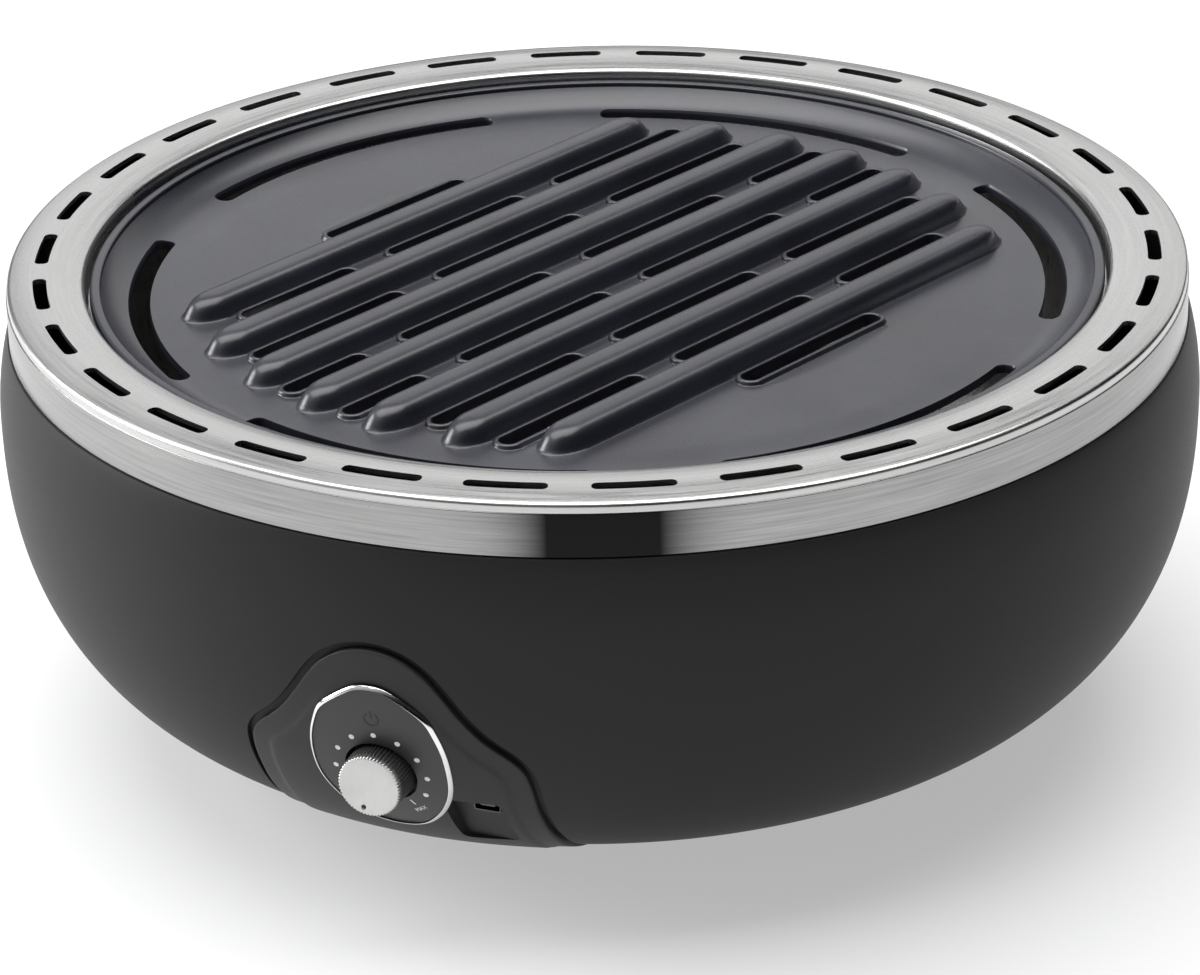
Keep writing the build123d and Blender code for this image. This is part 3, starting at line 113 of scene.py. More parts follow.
def makeWorld():
    sky = bpy.data.worlds.new("studio")
    bpy.context.scene.world = sky
    sky.use_nodes = True
    tree = sky.node_tree
    tree.nodes.clear()
    link = tree.links.new
    coord = tree.nodes.new("ShaderNodeTexCoord")
    split = tree.nodes.new("ShaderNodeSeparateXYZ")
    ramp = tree.nodes.new("ShaderNodeValToRGB")
    ramp.color_ramp.elements[0].position = 0.0
    ramp.color_ramp.elements[0].color = world["skyLow"]
    ramp.color_ramp.elements[1].position = world["skyTopFrom"]
    ramp.color_ramp.elements[1].color = world["skyTop"]
    link(coord.outputs["Generated"], split.inputs[0])
    link(split.outputs["Z"], ramp.inputs[0])
    glow = tree.nodes.new("ShaderNodeBackground")
    shade = tree.nodes.new("ShaderNodeMath")
    shade.operation = "MULTIPLY"
    for index, side in enumerate((world["left"], world["photographer"])):
        facing = tree.nodes.new("ShaderNodeVectorMath")
        facing.operation = "DOT_PRODUCT"
        facing.inputs[1].default_value = side["aim"]
        link(coord.outputs["Generated"], facing.inputs[0])
        addRange(tree, facing.outputs["Value"], side["away"], side["near"], shade.inputs[index],
                 side["from"], side["to"])
    link(addMath(tree, "MULTIPLY", shade.outputs[0], world["strength"]), glow.inputs["Strength"])
    plain = tree.nodes.new("ShaderNodeBackground")
    plain.inputs["Color"].default_value = world["backdrop"]
    path = tree.nodes.new("ShaderNodeLightPath")
    mix = tree.nodes.new("ShaderNodeMixShader")
    out = tree.nodes.new("ShaderNodeOutputWorld")
    link(ramp.outputs["Color"], glow.inputs["Color"])
    link(path.outputs["Is Camera Ray"], mix.inputs[0])
    link(glow.outputs[0], mix.inputs[1])
    link(plain.outputs[0], mix.inputs[2])
    link(mix.outputs[0], out.inputs[0])


def makeFloor():
    bpy.ops.mesh.primitive_plane_add(size=floorSheet["size"], location=(0, 0, 0))
    floor = bpy.context.object
    floor.name = "floorSheet"
    paint = bpy.data.materials.new("floorWhite")
    paint.use_nodes = True
    shader = paint.node_tree.nodes["Principled BSDF"]
    shader.inputs["Base Color"].default_value = floorSheet["colour"]
    shader.inputs["Roughness"].default_value = floorSheet["roughness"]
    # the camera, metal and glass see the sheet whiter than the lamps make it; the shadow stays
    tree = paint.node_tree
    path = tree.nodes.new("ShaderNodeLightPath")
    white = tree.nodes.new("ShaderNodeEmission")
    mix = tree.nodes.new("ShaderNodeMixShader")
    seen = addMath(tree, "MAXIMUM", path.outputs["Is Camera Ray"], path.outputs["Is Glossy Ray"])
    seen = addMath(tree, "MAXIMUM", seen, path.outputs["Is Transmission Ray"])
    tree.links.new(addMath(tree, "MULTIPLY", seen, floorSheet["white"]), mix.inputs[0])
    tree.links.new(shader.outputs[0], mix.inputs[1])
    tree.links.new(white.outputs[0], mix.inputs[2])
    tree.links.new(mix.outputs[0], tree.nodes["Material Output"].inputs[0])
    floor.data.materials.append(paint)


# Materials: one maker for all, with grain, colour change and bump on Object coordinates
def startMaterial(name, colour, roughness, metallic=0.0, coat=0.0, coatRoughness=0.1, specular=0.5):
    material = bpy.data.materials.new(name)
    material.use_nodes = True
    shader = material.node_tree.nodes["Principled BSDF"]
    shader.inputs["Base Color"].default_value = (*colour, 1)
    shader.inputs["Roughness"].default_value = roughness
    shader.inputs["Metallic"].default_value = metallic
    shader.inputs["Coat Weight"].default_value = coat
    shader.inputs["Coat Roughness"].default_value = coatRoughness
    shader.inputs["Specular IOR Level"].default_value = specular
    return material, material.node_tree, shader


def addNoise(tree, scale, detail=3.0, stretch=(1, 1, 1), roughness=0.55):
    coord = tree.nodes.new("ShaderNodeTexCoord")
    mapping = tree.nodes.new("ShaderNodeMapping")
    mapping.inputs["Scale"].default_value = stretch
    noise = tree.nodes.new("ShaderNodeTexNoise")
    noise.inputs["Scale"].default_value = scale
    noise.inputs["Detail"].default_value = detail
    noise.inputs["Roughness"].default_value = roughness
    tree.links.new(coord.outputs["Object"], mapping.inputs[0])
    tree.links.new(mapping.outputs[0], noise.inputs["Vector"])
    return noise


def addRange(tree, source, low, high, target, start=0.3, stop=0.7):
    spread = tree.nodes.new("ShaderNodeMapRange")
    spread.inputs["From Min"].default_value = start
    spread.inputs["From Max"].default_value = stop
    spread.inputs["To Min"].default_value = low
    spread.inputs["To Max"].default_value = high
    tree.links.new(source, spread.inputs["Value"])
    tree.links.new(spread.outputs["Result"], target)


def addTones(tree, source, dark, light, target, start=0.3, stop=0.7):
    ramp = tree.nodes.new("ShaderNodeValToRGB")
    ramp.color_ramp.elements[0].position = start
    ramp.color_ramp.elements[0].color = (*dark, 1)
    ramp.color_ramp.elements[1].position = stop
    ramp.color_ramp.elements[1].color = (*light, 1)
    tree.links.new(source, ramp.inputs[0])
    tree.links.new(ramp.outputs["Color"], target)


def addBump(tree, shader, source, strength, distance):
    bump = tree.nodes.new("ShaderNodeBump")
    bump.inputs["Strength"].default_value = strength
    bump.inputs["Distance"].default_value = distance
    tree.links.new(source, bump.inputs["Height"])
    tree.links.new(bump.outputs["Normal"], shader.inputs["Normal"])


def mouldedPlastic(name, dark, light, roughness, grain, specular=0.5, grainScale=2600):
    material, tree, shader = startMaterial(name, dark, roughness, specular=specular)
    tone = addNoise(tree, 9, 2)
    addTones(tree, tone.outputs["Fac"], dark, light, shader.inputs["Base Color"])
    fine = addNoise(tree, grainScale, 2)
    addRange(tree, fine.outputs["Fac"], roughness - 0.04, roughness + 0.05, shader.inputs["Roughness"])
    addBump(tree, shader, fine.outputs["Fac"], grain, 0.00012)
    return material


# Painted reflection: dark streaks in the band's colour, spaced evenly round it, one of them at the front where the
# polished sheet reflects the dark room
bandPaintedReflection = {"turn": -69, "count": 3.0, "sharpness": 14.0, "gain": 1.6, "colour": (0.012, 0.012, 0.012, 1)}


def addPaintedReflection(tree, angle, shader, paintedReflection):
    # painted reflection: dark streaks mixed over the base colour by the angle round Z
    lined = shader.inputs["Base Color"].links[0].from_socket
    wave = addMath(tree, "SUBTRACT", angle, math.radians(paintedReflection["turn"]))
    wave = addMath(tree, "MULTIPLY", wave, paintedReflection["count"])
    wave = addMath(tree, "MAXIMUM", addMath(tree, "COSINE", wave), 0.0)
    wave = addMath(tree, "POWER", wave, paintedReflection["sharpness"])
    wave = addMath(tree, "MULTIPLY", wave, paintedReflection["gain"])
    wave.node.use_clamp = True
    blend = tree.nodes.new("ShaderNodeMix")
    blend.data_type = "RGBA"
    tree.links.new(wave, blend.inputs["Factor"])
    # of the mix node's sockets, 6, 7 and output 2 are the colours
    tree.links.new(lined, blend.inputs[6])
    blend.inputs[7].default_value = paintedReflection["colour"]
    tree.links.new(blend.outputs[2], shader.inputs["Base Color"])


# Lines that run round Z, as on a turned or rolled ring
roundLines = {"drift": 0.004, "detail": 4, "roughness": 0.6, "bumpDepth": 0.00005}


def roundBrushed(name, dark, light, roughness, lineScale, bump, drawn=0.0, paintedReflection=None):
    material, tree, shader = startMaterial(name, light, roughness, metallic=1.0)
    if drawn:
        shader.inputs["Anisotropic"].default_value = drawn
        around = tree.nodes.new("ShaderNodeTangent")
        around.direction_type = "RADIAL"
        around.axis = "Z"
        tree.links.new(around.outputs[0], shader.inputs["Tangent"])
    coord = tree.nodes.new("ShaderNodeTexCoord")
    split = tree.nodes.new("ShaderNodeSeparateXYZ")
    tree.links.new(coord.outputs["Object"], split.inputs[0])
    flat = tree.nodes.new("ShaderNodeCombineXYZ")
    tree.links.new(split.outputs["X"], flat.inputs["X"])
    tree.links.new(split.outputs["Y"], flat.inputs["Y"])
    length = tree.nodes.new("ShaderNodeVectorMath")
    length.operation = "LENGTH"
    tree.links.new(flat.outputs[0], length.inputs[0])
    angle = addMath(tree, "ARCTAN2", split.outputs["Y"], split.outputs["X"])
    polar = tree.nodes.new("ShaderNodeCombineXYZ")
    tree.links.new(length.outputs["Value"], polar.inputs["X"])
    tree.links.new(split.outputs["Z"], polar.inputs["Y"])
    tree.links.new(addMath(tree, "MULTIPLY", angle, roundLines["drift"]), polar.inputs["Z"])
    lines = tree.nodes.new("ShaderNodeTexNoise")
    lines.inputs["Scale"].default_value = lineScale
    lines.inputs["Detail"].default_value = roundLines["detail"]
    lines.inputs["Roughness"].default_value = roundLines["roughness"]
    tree.links.new(polar.outputs[0], lines.inputs["Vector"])
    addTones(tree, lines.outputs["Fac"], dark, light, shader.inputs["Base Color"])
    # the band's painted reflection streaks go into the base colour here
    if paintedReflection:
        addPaintedReflection(tree, angle, shader, paintedReflection)
    addRange(tree, lines.outputs["Fac"], roughness - 0.05, roughness + 0.07, shader.inputs["Roughness"])
    addBump(tree, shader, lines.outputs["Fac"], bump, roundLines["bumpDepth"])
    return material


def pressedMetal(name, dark, light, roughness, bump=0.06):
    material, tree, shader = startMaterial(name, light, roughness, metallic=1.0)
    tone = addNoise(tree, 60, 4)
    addTones(tree, tone.outputs["Fac"], dark, light, shader.inputs["Base Color"])
    fine = addNoise(tree, 900, 3, (1, 1, 0.2))
    addRange(tree, fine.outputs["Fac"], roughness - 0.06, roughness + 0.08, shader.inputs["Roughness"])
    addBump(tree, shader, fine.outputs["Fac"], bump, 0.00005)
    return material


def nonstickCoat(name):
    material, tree, shader = startMaterial(name, (0.012, 0.013, 0.016), 0.33, coat=0.25, coatRoughness=0.28)
    tone = addNoise(tree, 35, 4)
    addTones(tree, tone.outputs["Fac"], (0.011, 0.0115, 0.017), (0.020, 0.021, 0.031), shader.inputs["Base Color"])
    peel = addNoise(tree, 1500, 2)
    addRange(tree, peel.outputs["Fac"], 0.27, 0.38, shader.inputs["Roughness"])
    addBump(tree, shader, peel.outputs["Fac"], 0.10, 0.0001)
    return material


bowlPaint = mouldedPlastic("bowlPaint", (0.0185, 0.0181, 0.0184), (0.0205, 0.0200, 0.0204), 0.5, 0.05,
                          specular=0.18)
panelPlastic = mouldedPlastic("panelPlastic", (0.022, 0.022, 0.0225), (0.025, 0.025, 0.0255), 0.46, 0.05,
                              specular=0.25)
dialPlastic = mouldedPlastic("dialPlastic", (0.024, 0.024, 0.025), (0.027, 0.027, 0.028), 0.40, 0.03)
knobPlastic = mouldedPlastic("knobPlastic", (0.045, 0.045, 0.045), (0.055, 0.055, 0.054), 0.42, 0.04)
coverPlastic = mouldedPlastic("coverPlastic", (0.016, 0.016, 0.016), (0.023, 0.023, 0.023), 0.55, 0.12,
                              grainScale=1400)
housingPlastic = mouldedPlastic("housingPlastic", (0.022, 0.022, 0.023), (0.030, 0.030, 0.031), 0.5, 0.08)
rotorPlastic = mouldedPlastic("rotorPlastic", (0.015, 0.015, 0.016), (0.021, 0.021, 0.022), 0.35, 0.03)
boardGreen = mouldedPlastic("boardGreen", (0.010, 0.085, 0.035), (0.014, 0.105, 0.045), 0.35, 0.04, grainScale=900)
cellJacket = mouldedPlastic("cellJacket", (0.020, 0.060, 0.150), (0.026, 0.075, 0.180), 0.28, 0.02)
footRubber = mouldedPlastic("footRubber", (0.012, 0.012, 0.012), (0.018, 0.018, 0.018), 0.8, 0.2, specular=0.3)
ringSteel = roundBrushed("ringSteel", (0.50, 0.50, 0.495), (0.62, 0.62, 0.61), 0.28, 900, 0.04)
# the band's colour carries painted reflection streaks, dark at fixed angles round it
bandSteel = roundBrushed("bandSteel", (0.27, 0.27, 0.27), (0.40, 0.40, 0.395), 0.22, 1200, 0.06, 0.8,
                         bandPaintedReflection)
chromeTrim = pressedMetal("chromeTrim", (0.78, 0.78, 0.79), (0.86, 0.86, 0.87), 0.10, 0.01)
capSilver = pressedMetal("capSilver", (0.54, 0.54, 0.53), (0.61, 0.61, 0.60), 0.40, 0.05)
sheetSteel = pressedMetal("sheetSteel", (0.50, 0.49, 0.48), (0.60, 0.59, 0.58), 0.30)
turnedSteel = pressedMetal("turnedSteel", (0.55, 0.55, 0.55), (0.66, 0.66, 0.66), 0.24)
socketShell = pressedMetal("socketShell", (0.09, 0.09, 0.09), (0.13, 0.13, 0.13), 0.36)
zincPlate = pressedMetal("zincPlate", (0.52, 0.53, 0.55), (0.64, 0.65, 0.66), 0.32)
plateCoat = nonstickCoat("plateCoat")
markWhite = startMaterial("markWhite", (0.75, 0.75, 0.75), 0.5)[0]
markDark = startMaterial("markDark", (0.008, 0.008, 0.008), 0.5)[0]
print("materials made")


makeCamera()
makeLamps()
makeWorld()
makeFloor()
bpy.context.scene.view_settings.view_transform = "Standard"
print("camera, lamps and floor made")


# Shapes: a stack of closed loops becomes a surface, one extrusion for each loop
def loftLoops(name, loops, capped=False):
    bpy.ops.object.select_all(action="DESELECT")
    bpy.ops.mesh.primitive_circle_add(vertices=len(loops[0]), radius=1, fill_type="NGON" if capped else "NOTHING")
    piece = bpy.context.object
    piece.name = name
    piece.data.name = name
    bpy.ops.object.mode_set(mode="EDIT")
    bpy.ops.mesh.select_all(action="SELECT")
    for _ in loops[1:]:
        bpy.ops.mesh.extrude_region_move(TRANSFORM_OT_translate={"value": (0, 0, 0.01)})
    bpy.ops.object.mode_set(mode="OBJECT")
    places = [c * mm for loop in loops for point in loop for c in point]
    piece.data.vertices.foreach_set("co", places)
    piece.data.update()
    bpy.ops.object.mode_set(mode="EDIT")
    bpy.ops.mesh.select_all(action="SELECT")
    bpy.ops.mesh.remove_doubles(threshold=0.002 * mm)
    bpy.ops.mesh.normals_make_consistent(inside=False)
    bpy.ops.object.mode_set(mode="OBJECT")
    return piece


def lathe(name, section, segments, closed=True, centre=(0, 0), turn=0.0, along="Z"):
    loops = []
    for radius, height in section + (section[:1] if closed else []):
        loop = []
        for step in range(segments):
            angle = turn + 2 * math.pi * step / segments
            a = centre[0] + radius * math.cos(angle)
            b = centre[1] + radius * math.sin(angle)
            loop.append((a, b, height) if along == "Z" else (a, -height, b))
        loops.append(loop)
    return loftLoops(name, loops)


def useModifier(piece, kind, **settings):
    modifier = piece.modifiers.new(kind.lower(), kind)
    for key, value in settings.items():
        setattr(modifier, key, value)
    bpy.ops.object.select_all(action="DESELECT")
    piece.select_set(True)
    bpy.context.view_layer.objects.active = piece
    bpy.ops.object.modifier_apply(modifier=modifier.name)


def cut(piece, cutter, operation="DIFFERENCE"):
    useModifier(piece, "BOOLEAN", object=cutter, operation=operation, solver="EXACT")
    bpy.data.objects.remove(cutter)


def joinPieces(pieces, name):
    bpy.ops.object.select_all(action="DESELECT")
    for piece in pieces:
        piece.select_set(True)
    bpy.context.view_layer.objects.active = pieces[0]
    bpy.ops.object.join()
    pieces[0].name = name
    pieces[0].data.name = name
    return pieces[0]


def smooth(piece, angle=32):
    bpy.ops.object.select_all(action="DESELECT")
    piece.select_set(True)
    bpy.context.view_layer.objects.active = piece
    bpy.ops.object.shade_smooth_by_angle(angle=math.radians(angle))


def finish(piece, body, slot, material, *replaced):
    piece.data.materials.clear()
    piece.data.materials.append(material)
    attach(piece, body)
    if replaced:
        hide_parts(*replaced)
    print("made", piece.name, len(piece.data.polygons), "faces")


# The bowl's side, from the same curve as the frame
bowlShape = {
    "radius": 175.0,
    "floorRadius": 80.5,
    "floorHeight": 7.6,
    "bellyHeight": 98.7,
    "shoulderHeight": 122.6,
    "drawIn": 3.5,
    "acrossPower": 2.61,
    "upPower": 2.42,
    "wall": 2.5,
    "segments": 288,
    "shoulderSteps": 8,
    "tableStep": 0.25,
    "outsideFrom": 100.5,
    "insideFrom": 107.5,
    "insideTop": 119,
    "footEdge": [(99.9, 11.1), (99.9, 8.6), (100.1, 8.35)],
    "mouth": [(171.55, 122.0), (171.35, 122.4), (170.9, 122.6), (169.2, 122.6), (169.2, 134.2), (166.7, 134.2),
              (166.7, 119.6), (168.9, 119.0)],
    "footLedge": [(106.9, 15.1), (92.9, 15.1), (92.9, 11.1)],
}


def sidePoint(turn, out, base, mouth, bottom, top):
    across = math.cos(turn) ** (2 / bowlShape["acrossPower"])
    down = math.sin(turn) ** (2 / bowlShape["upPower"])
    slopeR = bowlShape["acrossPower"] / (mouth - base) * across ** (bowlShape["acrossPower"] - 1)
    slopeZ = -bowlShape["upPower"] / (top - bottom) * down ** (bowlShape["upPower"] - 1)
    steep = math.hypot(slopeR, slopeZ)
    return (base + (mouth - base) * across + out * slopeR / steep,
            top - (top - bottom) * down + out * slopeZ / steep)


def bowlSide(out, steps):
    b = bowlShape
    side = []
    for step in range(steps + 1):
        turn = math.pi / 2 * (1 - step / steps)
        side.append(sidePoint(turn, out, b["floorRadius"], b["radius"], b["floorHeight"], b["bellyHeight"]))
    rise = b["shoulderHeight"] - b["bellyHeight"]
    arc = (b["drawIn"] ** 2 + rise ** 2) / (2 * b["drawIn"])
    for step in range(1, b["shoulderSteps"] + 1):
        up = rise * step / b["shoulderSteps"]
        side.append((b["radius"] + out - arc + math.sqrt(arc ** 2 - up ** 2), b["bellyHeight"] + up))
    return side


surfaceTables = {}


def surfaceRadius(height, out):
    if out not in surfaceTables:
        side = bowlSide(out, 600)
        surfaceTables[out] = ([z for r, z in side], [r for r, z in side])
    heights, radii = surfaceTables[out]
    place = min(max(bisect_left(heights, height), 1), len(heights) - 1)
    low, high = heights[place - 1], heights[place]
    share = (height - low) / (high - low) if high > low else 0
    return radii[place - 1] + (radii[place] - radii[place - 1]) * share


def onBowl(x, z, out):
    # out is read between two tables, so that it may change smoothly
    apart = bowlShape["tableStep"]
    low = math.floor(out / apart) * apart
    share = (out - low) / apart
    radius = surfaceRadius(z, low) * (1 - share) + surfaceRadius(z, low + apart) * share
    return (x, -math.sqrt(max(radius ** 2 - x ** 2, 0)), z)


def smoothOutline(points, steps):
    # closed smooth line through the points
    outline = []
    count = len(points)
    for index in range(count):
        p0, p1, p2, p3 = (Vector(points[(index + k) % count]) for k in (-1, 0, 1, 2))
        d1, d2, d3 = ((b - a).length ** 0.5 for a, b in ((p0, p1), (p1, p2), (p2, p3)))
        m1 = (p1 - p0) / d1 - (p2 - p0) / (d1 + d2) + (p2 - p1) / d2
        m2 = (p2 - p1) / d2 - (p3 - p1) / (d2 + d3) + (p3 - p2) / d3
        for step in range(steps):
            t = step / steps
            h = (2 * t ** 3 - 3 * t ** 2 + 1, t ** 3 - 2 * t ** 2 + t, 3 * t ** 2 - 2 * t ** 3, t ** 3 - t ** 2)
            outline.append(h[0] * p1 + h[1] * m1 * d2 + h[2] * p2 + h[3] * m2 * d2)
    return outline


def resample(outline, count):
    lengths = [0]
    for index in range(len(outline)):
        lengths.append(lengths[-1] + (outline[(index + 1) % len(outline)] - outline[index]).length)
    result = []
    for step in range(count):
        want = lengths[-1] * step / count
        place = max(bisect_left(lengths, want), 1)
        a, b = outline[place - 1], outline[place % len(outline)]
        result.append(a.lerp(b, (want - lengths[place - 1]) / (lengths[place] - lengths[place - 1])))
    return result


def grown(outline, amount):
    # outlines run clockwise seen from the front, so the outside is on the left
    result = []
    count = len(outline)
    for index in range(count):
        along = (outline[(index + 1) % count] - outline[index - 1]).normalized()
        result.append(outline[index] + Vector((-along.y, along.x)) * amount)
    return result


# Closed piece on the bowl's side: walls from the back edge to the front edge, then both faces.
# An edge step is (inset, out, lift); lift grows towards the lower part of the outline
def fade(height):
    low, high = panelShape["liftAll"], panelShape["liftNone"]
    share = min(max((high - height) / (high - low), 0), 1)
    return share * share * (3 - 2 * share)


def sideLoop(outline, inset, out, lift=0):
    points = insetLine(outline, inset) if inset > 1 else grown(outline, -inset)
    return [onBowl(p.x, p.y, out + lift * fade(p.y)) for p in points]


def insetLine(outline, inset):
    # points that a corner pushes too close to the outline are drawn between their neighbours
    moved = grown(outline, -inset)
    good = []
    for index, point in enumerate(moved):
        near = min((point - outline[other]).length for other in range(0, len(outline), 2))
        good.append(near > inset * 0.93)
    count = len(moved)
    result = []
    for index in range(count):
        if good[index]:
            result.append(moved[index])
            continue
        before = next(k for k in range(1, count) if good[(index - k) % count])
        after = next(k for k in range(1, count) if good[(index + k) % count])
        result.append(moved[(index - before) % count].lerp(moved[(index + after) % count], before / (before + after)))
    return result


def sideSolid(name, outline, edge, centre, steps=8):
    middle = Vector(centre)
    loops = []
    for step in range(steps):
        loops.append([onBowl(*middle.lerp(p, step / steps), edge[0][1]) for p in grown(outline, -edge[0][0])])
    loops += [sideLoop(outline, *step) for step in edge]
    inset, out, lift = (*edge[-1], 0)[:3]
    last = insetLine(outline, inset) if inset > 1 else grown(outline, -inset)
    for step in range(steps - 1, -1, -1):
        points = [middle.lerp(p, step / steps) for p in last]
        loops.append([onBowl(p.x, p.y, out + lift * fade(p.y)) for p in points])
    return loftLoops(name, loops)


def prism(name, outline, low, high):
    return loftLoops(name, [[(x, y, height) for x, y in outline] for height in (low, high)], capped=True)


def turned(x, y, degrees):
    angle = math.radians(degrees)
    return (x * math.cos(angle) - y * math.sin(angle), x * math.sin(angle) + y * math.cos(angle))


def arcSlotLine(radius, width, angle, corner, centreAngle):
    # rounded slot that follows an arc about the origin
    long, half = math.radians(angle) * radius / 2 - corner, width / 2 - corner
    bends = [math.pi / 2 * step / 5 for step in range(6)]
    runs = max(int(angle / 1.5), 5)
    line = []
    for quarter, (u, v) in enumerate(((half, long), (-half, long), (-half, -long), (half, -long))):
        for bend in bends:
            turn = bend + quarter * math.pi / 2
            line.append((u + corner * math.cos(turn), v + corner * math.sin(turn)))
        if quarter in (1, 3):
            line += [(line[-1][0], v * (1 - 2 * step / runs)) for step in range(1, runs)]
    result = []
    for u, v in line:
        place = math.radians(centreAngle) + v / radius
        result.append(((radius + u) * math.cos(place), (radius + u) * math.sin(place)))
    return result


def rounded(points, bends):
    # polyline with its corners rounded; each bend is (radius, steps) or None
    result = []
    for index, point in enumerate(points):
        bend = bends[index] if index < len(bends) else None
        if not bend:
            result.append(point)
            continue
        radius, steps = bend
        here, before, after = Vector(point), Vector(points[index - 1]), Vector(points[(index + 1) % len(points)])
        a, b = (before - here).normalized(), (after - here).normalized()
        half = math.acos(max(min(a.dot(b), 1), -1)) / 2
        reach = min(radius / math.tan(half), (before - here).length * 0.48, (after - here).length * 0.48)
        for step in range(steps + 1):
            t = step / steps
            spot = here + a * reach * (1 - t) ** 2 + b * reach * t ** 2
            result.append((spot.x, spot.y))
    return result


# Control panel outline, half of it, from the top down, as measured in the photograph
panelShape = {
    "half": [(0, 93.8), (5, 93.2), (9.4, 91.6), (14.7, 88.0), (19.0, 83.0), (23.5, 76.5), (28.6, 70.0),
             (32.5, 66.2), (36.4, 62.8), (39.2, 58.8), (40.3, 53.0), (40.3, 44.0), (40.3, 32.0), (40.3, 20.0),
             (40.3, 12.5)],
    "foot": 12.5,
    "groove": 1.9,
    "pocketEdge": [(0, -1.5), (0, -0.5), (-0.1, -0.15), (-0.35, 0.05), (-0.6, 0.2), (-0.6, 6.0)],
    "liftAll": 68,
    "liftNone": 87,
    "centre": (0, 45.0),
    "points": 240,
    "edge": [(0, -1.4), (0, -0.6), (0, 0.1), (0.05, 0.38), (0.2, 0.58), (0.5, 0.69), (1.0, 0.7),
             (4.6, 0.7), (5.3, 0.7, 0.06), (5.8, 0.7, 0.2), (6.3, 0.7, 0.42), (6.9, 0.7, 0.56), (7.7, 0.7, 0.6)],
}


def panelOutline():
    half = panelShape["half"]
    mirrored = [(-x, z) for x, z in reversed(half[1:])]
    base = [(x, panelShape["foot"]) for x in (30, 15, 0, -15, -30)]
    return resample(smoothOutline(half + base + mirrored, 12), panelShape["points"])


panelLine = panelOutline()
bowlCurve = bowlSide(0, 56)
bowlInner = bowlSide(-bowlShape["wall"], 28)

knobShape = {
    "height": 54.6,
    "wellFloor": 164.2,
    "wellRadius": 10.3,
    "cupBack": 162.2,
    "cupRadius": 11.9,
    "throughFrom": 150,
    "bowlHole": 12.2,
    "bowlHoleTo": 180,
    "bowlHolePoints": 64,
    "beyond": 185,
    "points": 96,
    "teeth": 56,
    "toothDepth": 0.35,
    "perTooth": 8,
    # (radius, share of the tooth depth, forward distance) from the back to the front
    "skirt": [(0, 0, 174.6), (7.9, 0, 174.6), (7.9, 0, 165.2), (8.9, 0, 165.2), (9.2, 1, 165.4), (9.3, 1, 165.8),
              (9.15, 1, 176.7), (8.75, 0.6, 177.2), (0, 0, 177.2)],
    "cap": [(0, 0, 177.2), (8.5, 0, 177.2), (8.95, 1, 177.35), (8.95, 1, 178.4), (8.86, 1, 178.65),
            (8.6, 0.7, 178.83), (8.2, 0, 178.9), (5, 0, 178.9), (0, 0, 178.9)],
    "dotCircle": 6.6,
    "dotTurn": -105,
    "dotHole": [(0, 178.6), (0.62, 178.6), (0.7, 178.7), (0.72, 178.82), (0.85, 178.91), (0.85, 180), (0, 180)],
    "dotInlay": [(0, 178.55), (0.6, 178.55), (0.6, 178.66), (0, 178.66)],
}

recessShape = {
    "x": 25.0,
    "z": 41.5,
    "front": 157.16,
    "lean": 30.0,
    "width": 16.0,
    "height": 20.0,
    "corner": 2.5,
    "drop": 6.0,
    "side": 1.5,
    "wall": 1.6,
    "blockBack": 126,
    "blockSteps": 8,
    "blockOut": 0.6,
    "windowGap": 0.3,
    "mouldGap": -0.1,
    "behind": (-60, 90, 2),
    "reach": 20,
    "rise": 19.0,
    "socket": (8.1, 3.1, 0.8),
    "socketDepth": (148, 180),
}


def knobDisc(name, radius, back, front, points):
    # round cutter on the knob's axis
    section = [(0, back), (radius, back), (radius, front), (0, front)]
    return lathe(name, section, points, closed=False, centre=(0, knobShape["height"]), along="Y")


def makeBowl():
    b = bowlShape
    outer = [p for p in bowlCurve[:-1] if p[0] > b["outsideFrom"]]
    inner = [p for p in bowlInner if p[0] > b["insideFrom"] and p[1] < b["insideTop"]]
    section = b["footEdge"] + outer + b["mouth"] + list(reversed(inner)) + b["footLedge"]
    bowl = lathe("bowlShell", section, b["segments"])
    cut(bowl, sideSolid("pocketCutter", grown(panelLine, panelShape["groove"]), panelShape["pocketEdge"],
                        panelShape["centre"]))
    k = knobShape
    cut(bowl, knobDisc("cupCutter", k["bowlHole"], k["throughFrom"], k["bowlHoleTo"], k["bowlHolePoints"]))
    cut(bowl, socketBlock("windowCutter", recessShape["windowGap"]))
    smooth(bowl, 30)
    finish(bowl, "grill_base", "bowl_grey", bowlPaint, "outer_bowl")


def roundRect(width, height, corner, steps=5):
    line = []
    for sx, sz, start in ((1, 1, 0), (-1, 1, 90), (-1, -1, 180), (1, -1, 270)):
        for step in range(steps + 1):
            angle = math.radians(start + 90 * step / steps)
            line.append((sx * (width / 2 - corner) + corner * math.cos(angle),
                         sz * (height / 2 - corner) + corner * math.sin(angle)))
    return line


def sideBlock(name, line, middle, back):
    # upright block, its front just under the panel's skin
    loops = [[(middle[0] + x * share, -back, middle[1] + z * share) for x, z in line] for share in (0, 1)]
    steps = recessShape["blockSteps"]
    for step in range(steps, -1, -1):
        loops.append([onBowl(middle[0] + x * step / steps, middle[1] + z * step / steps, recessShape["blockOut"])
                      for x, z in line])
    return loftLoops(name, loops)


def socketBlock(name, extra):
    # block behind the socket's recess
    r = recessShape
    middle = (r["x"] - r["side"], r["z"] - r["drop"] * math.cos(math.radians(r["lean"])))
    grow = 2 * (r["wall"] + extra)
    line = roundRect(r["width"] + grow, r["height"] + grow, r["corner"] + r["wall"])
    return sideBlock(name, line, middle, r["blockBack"])


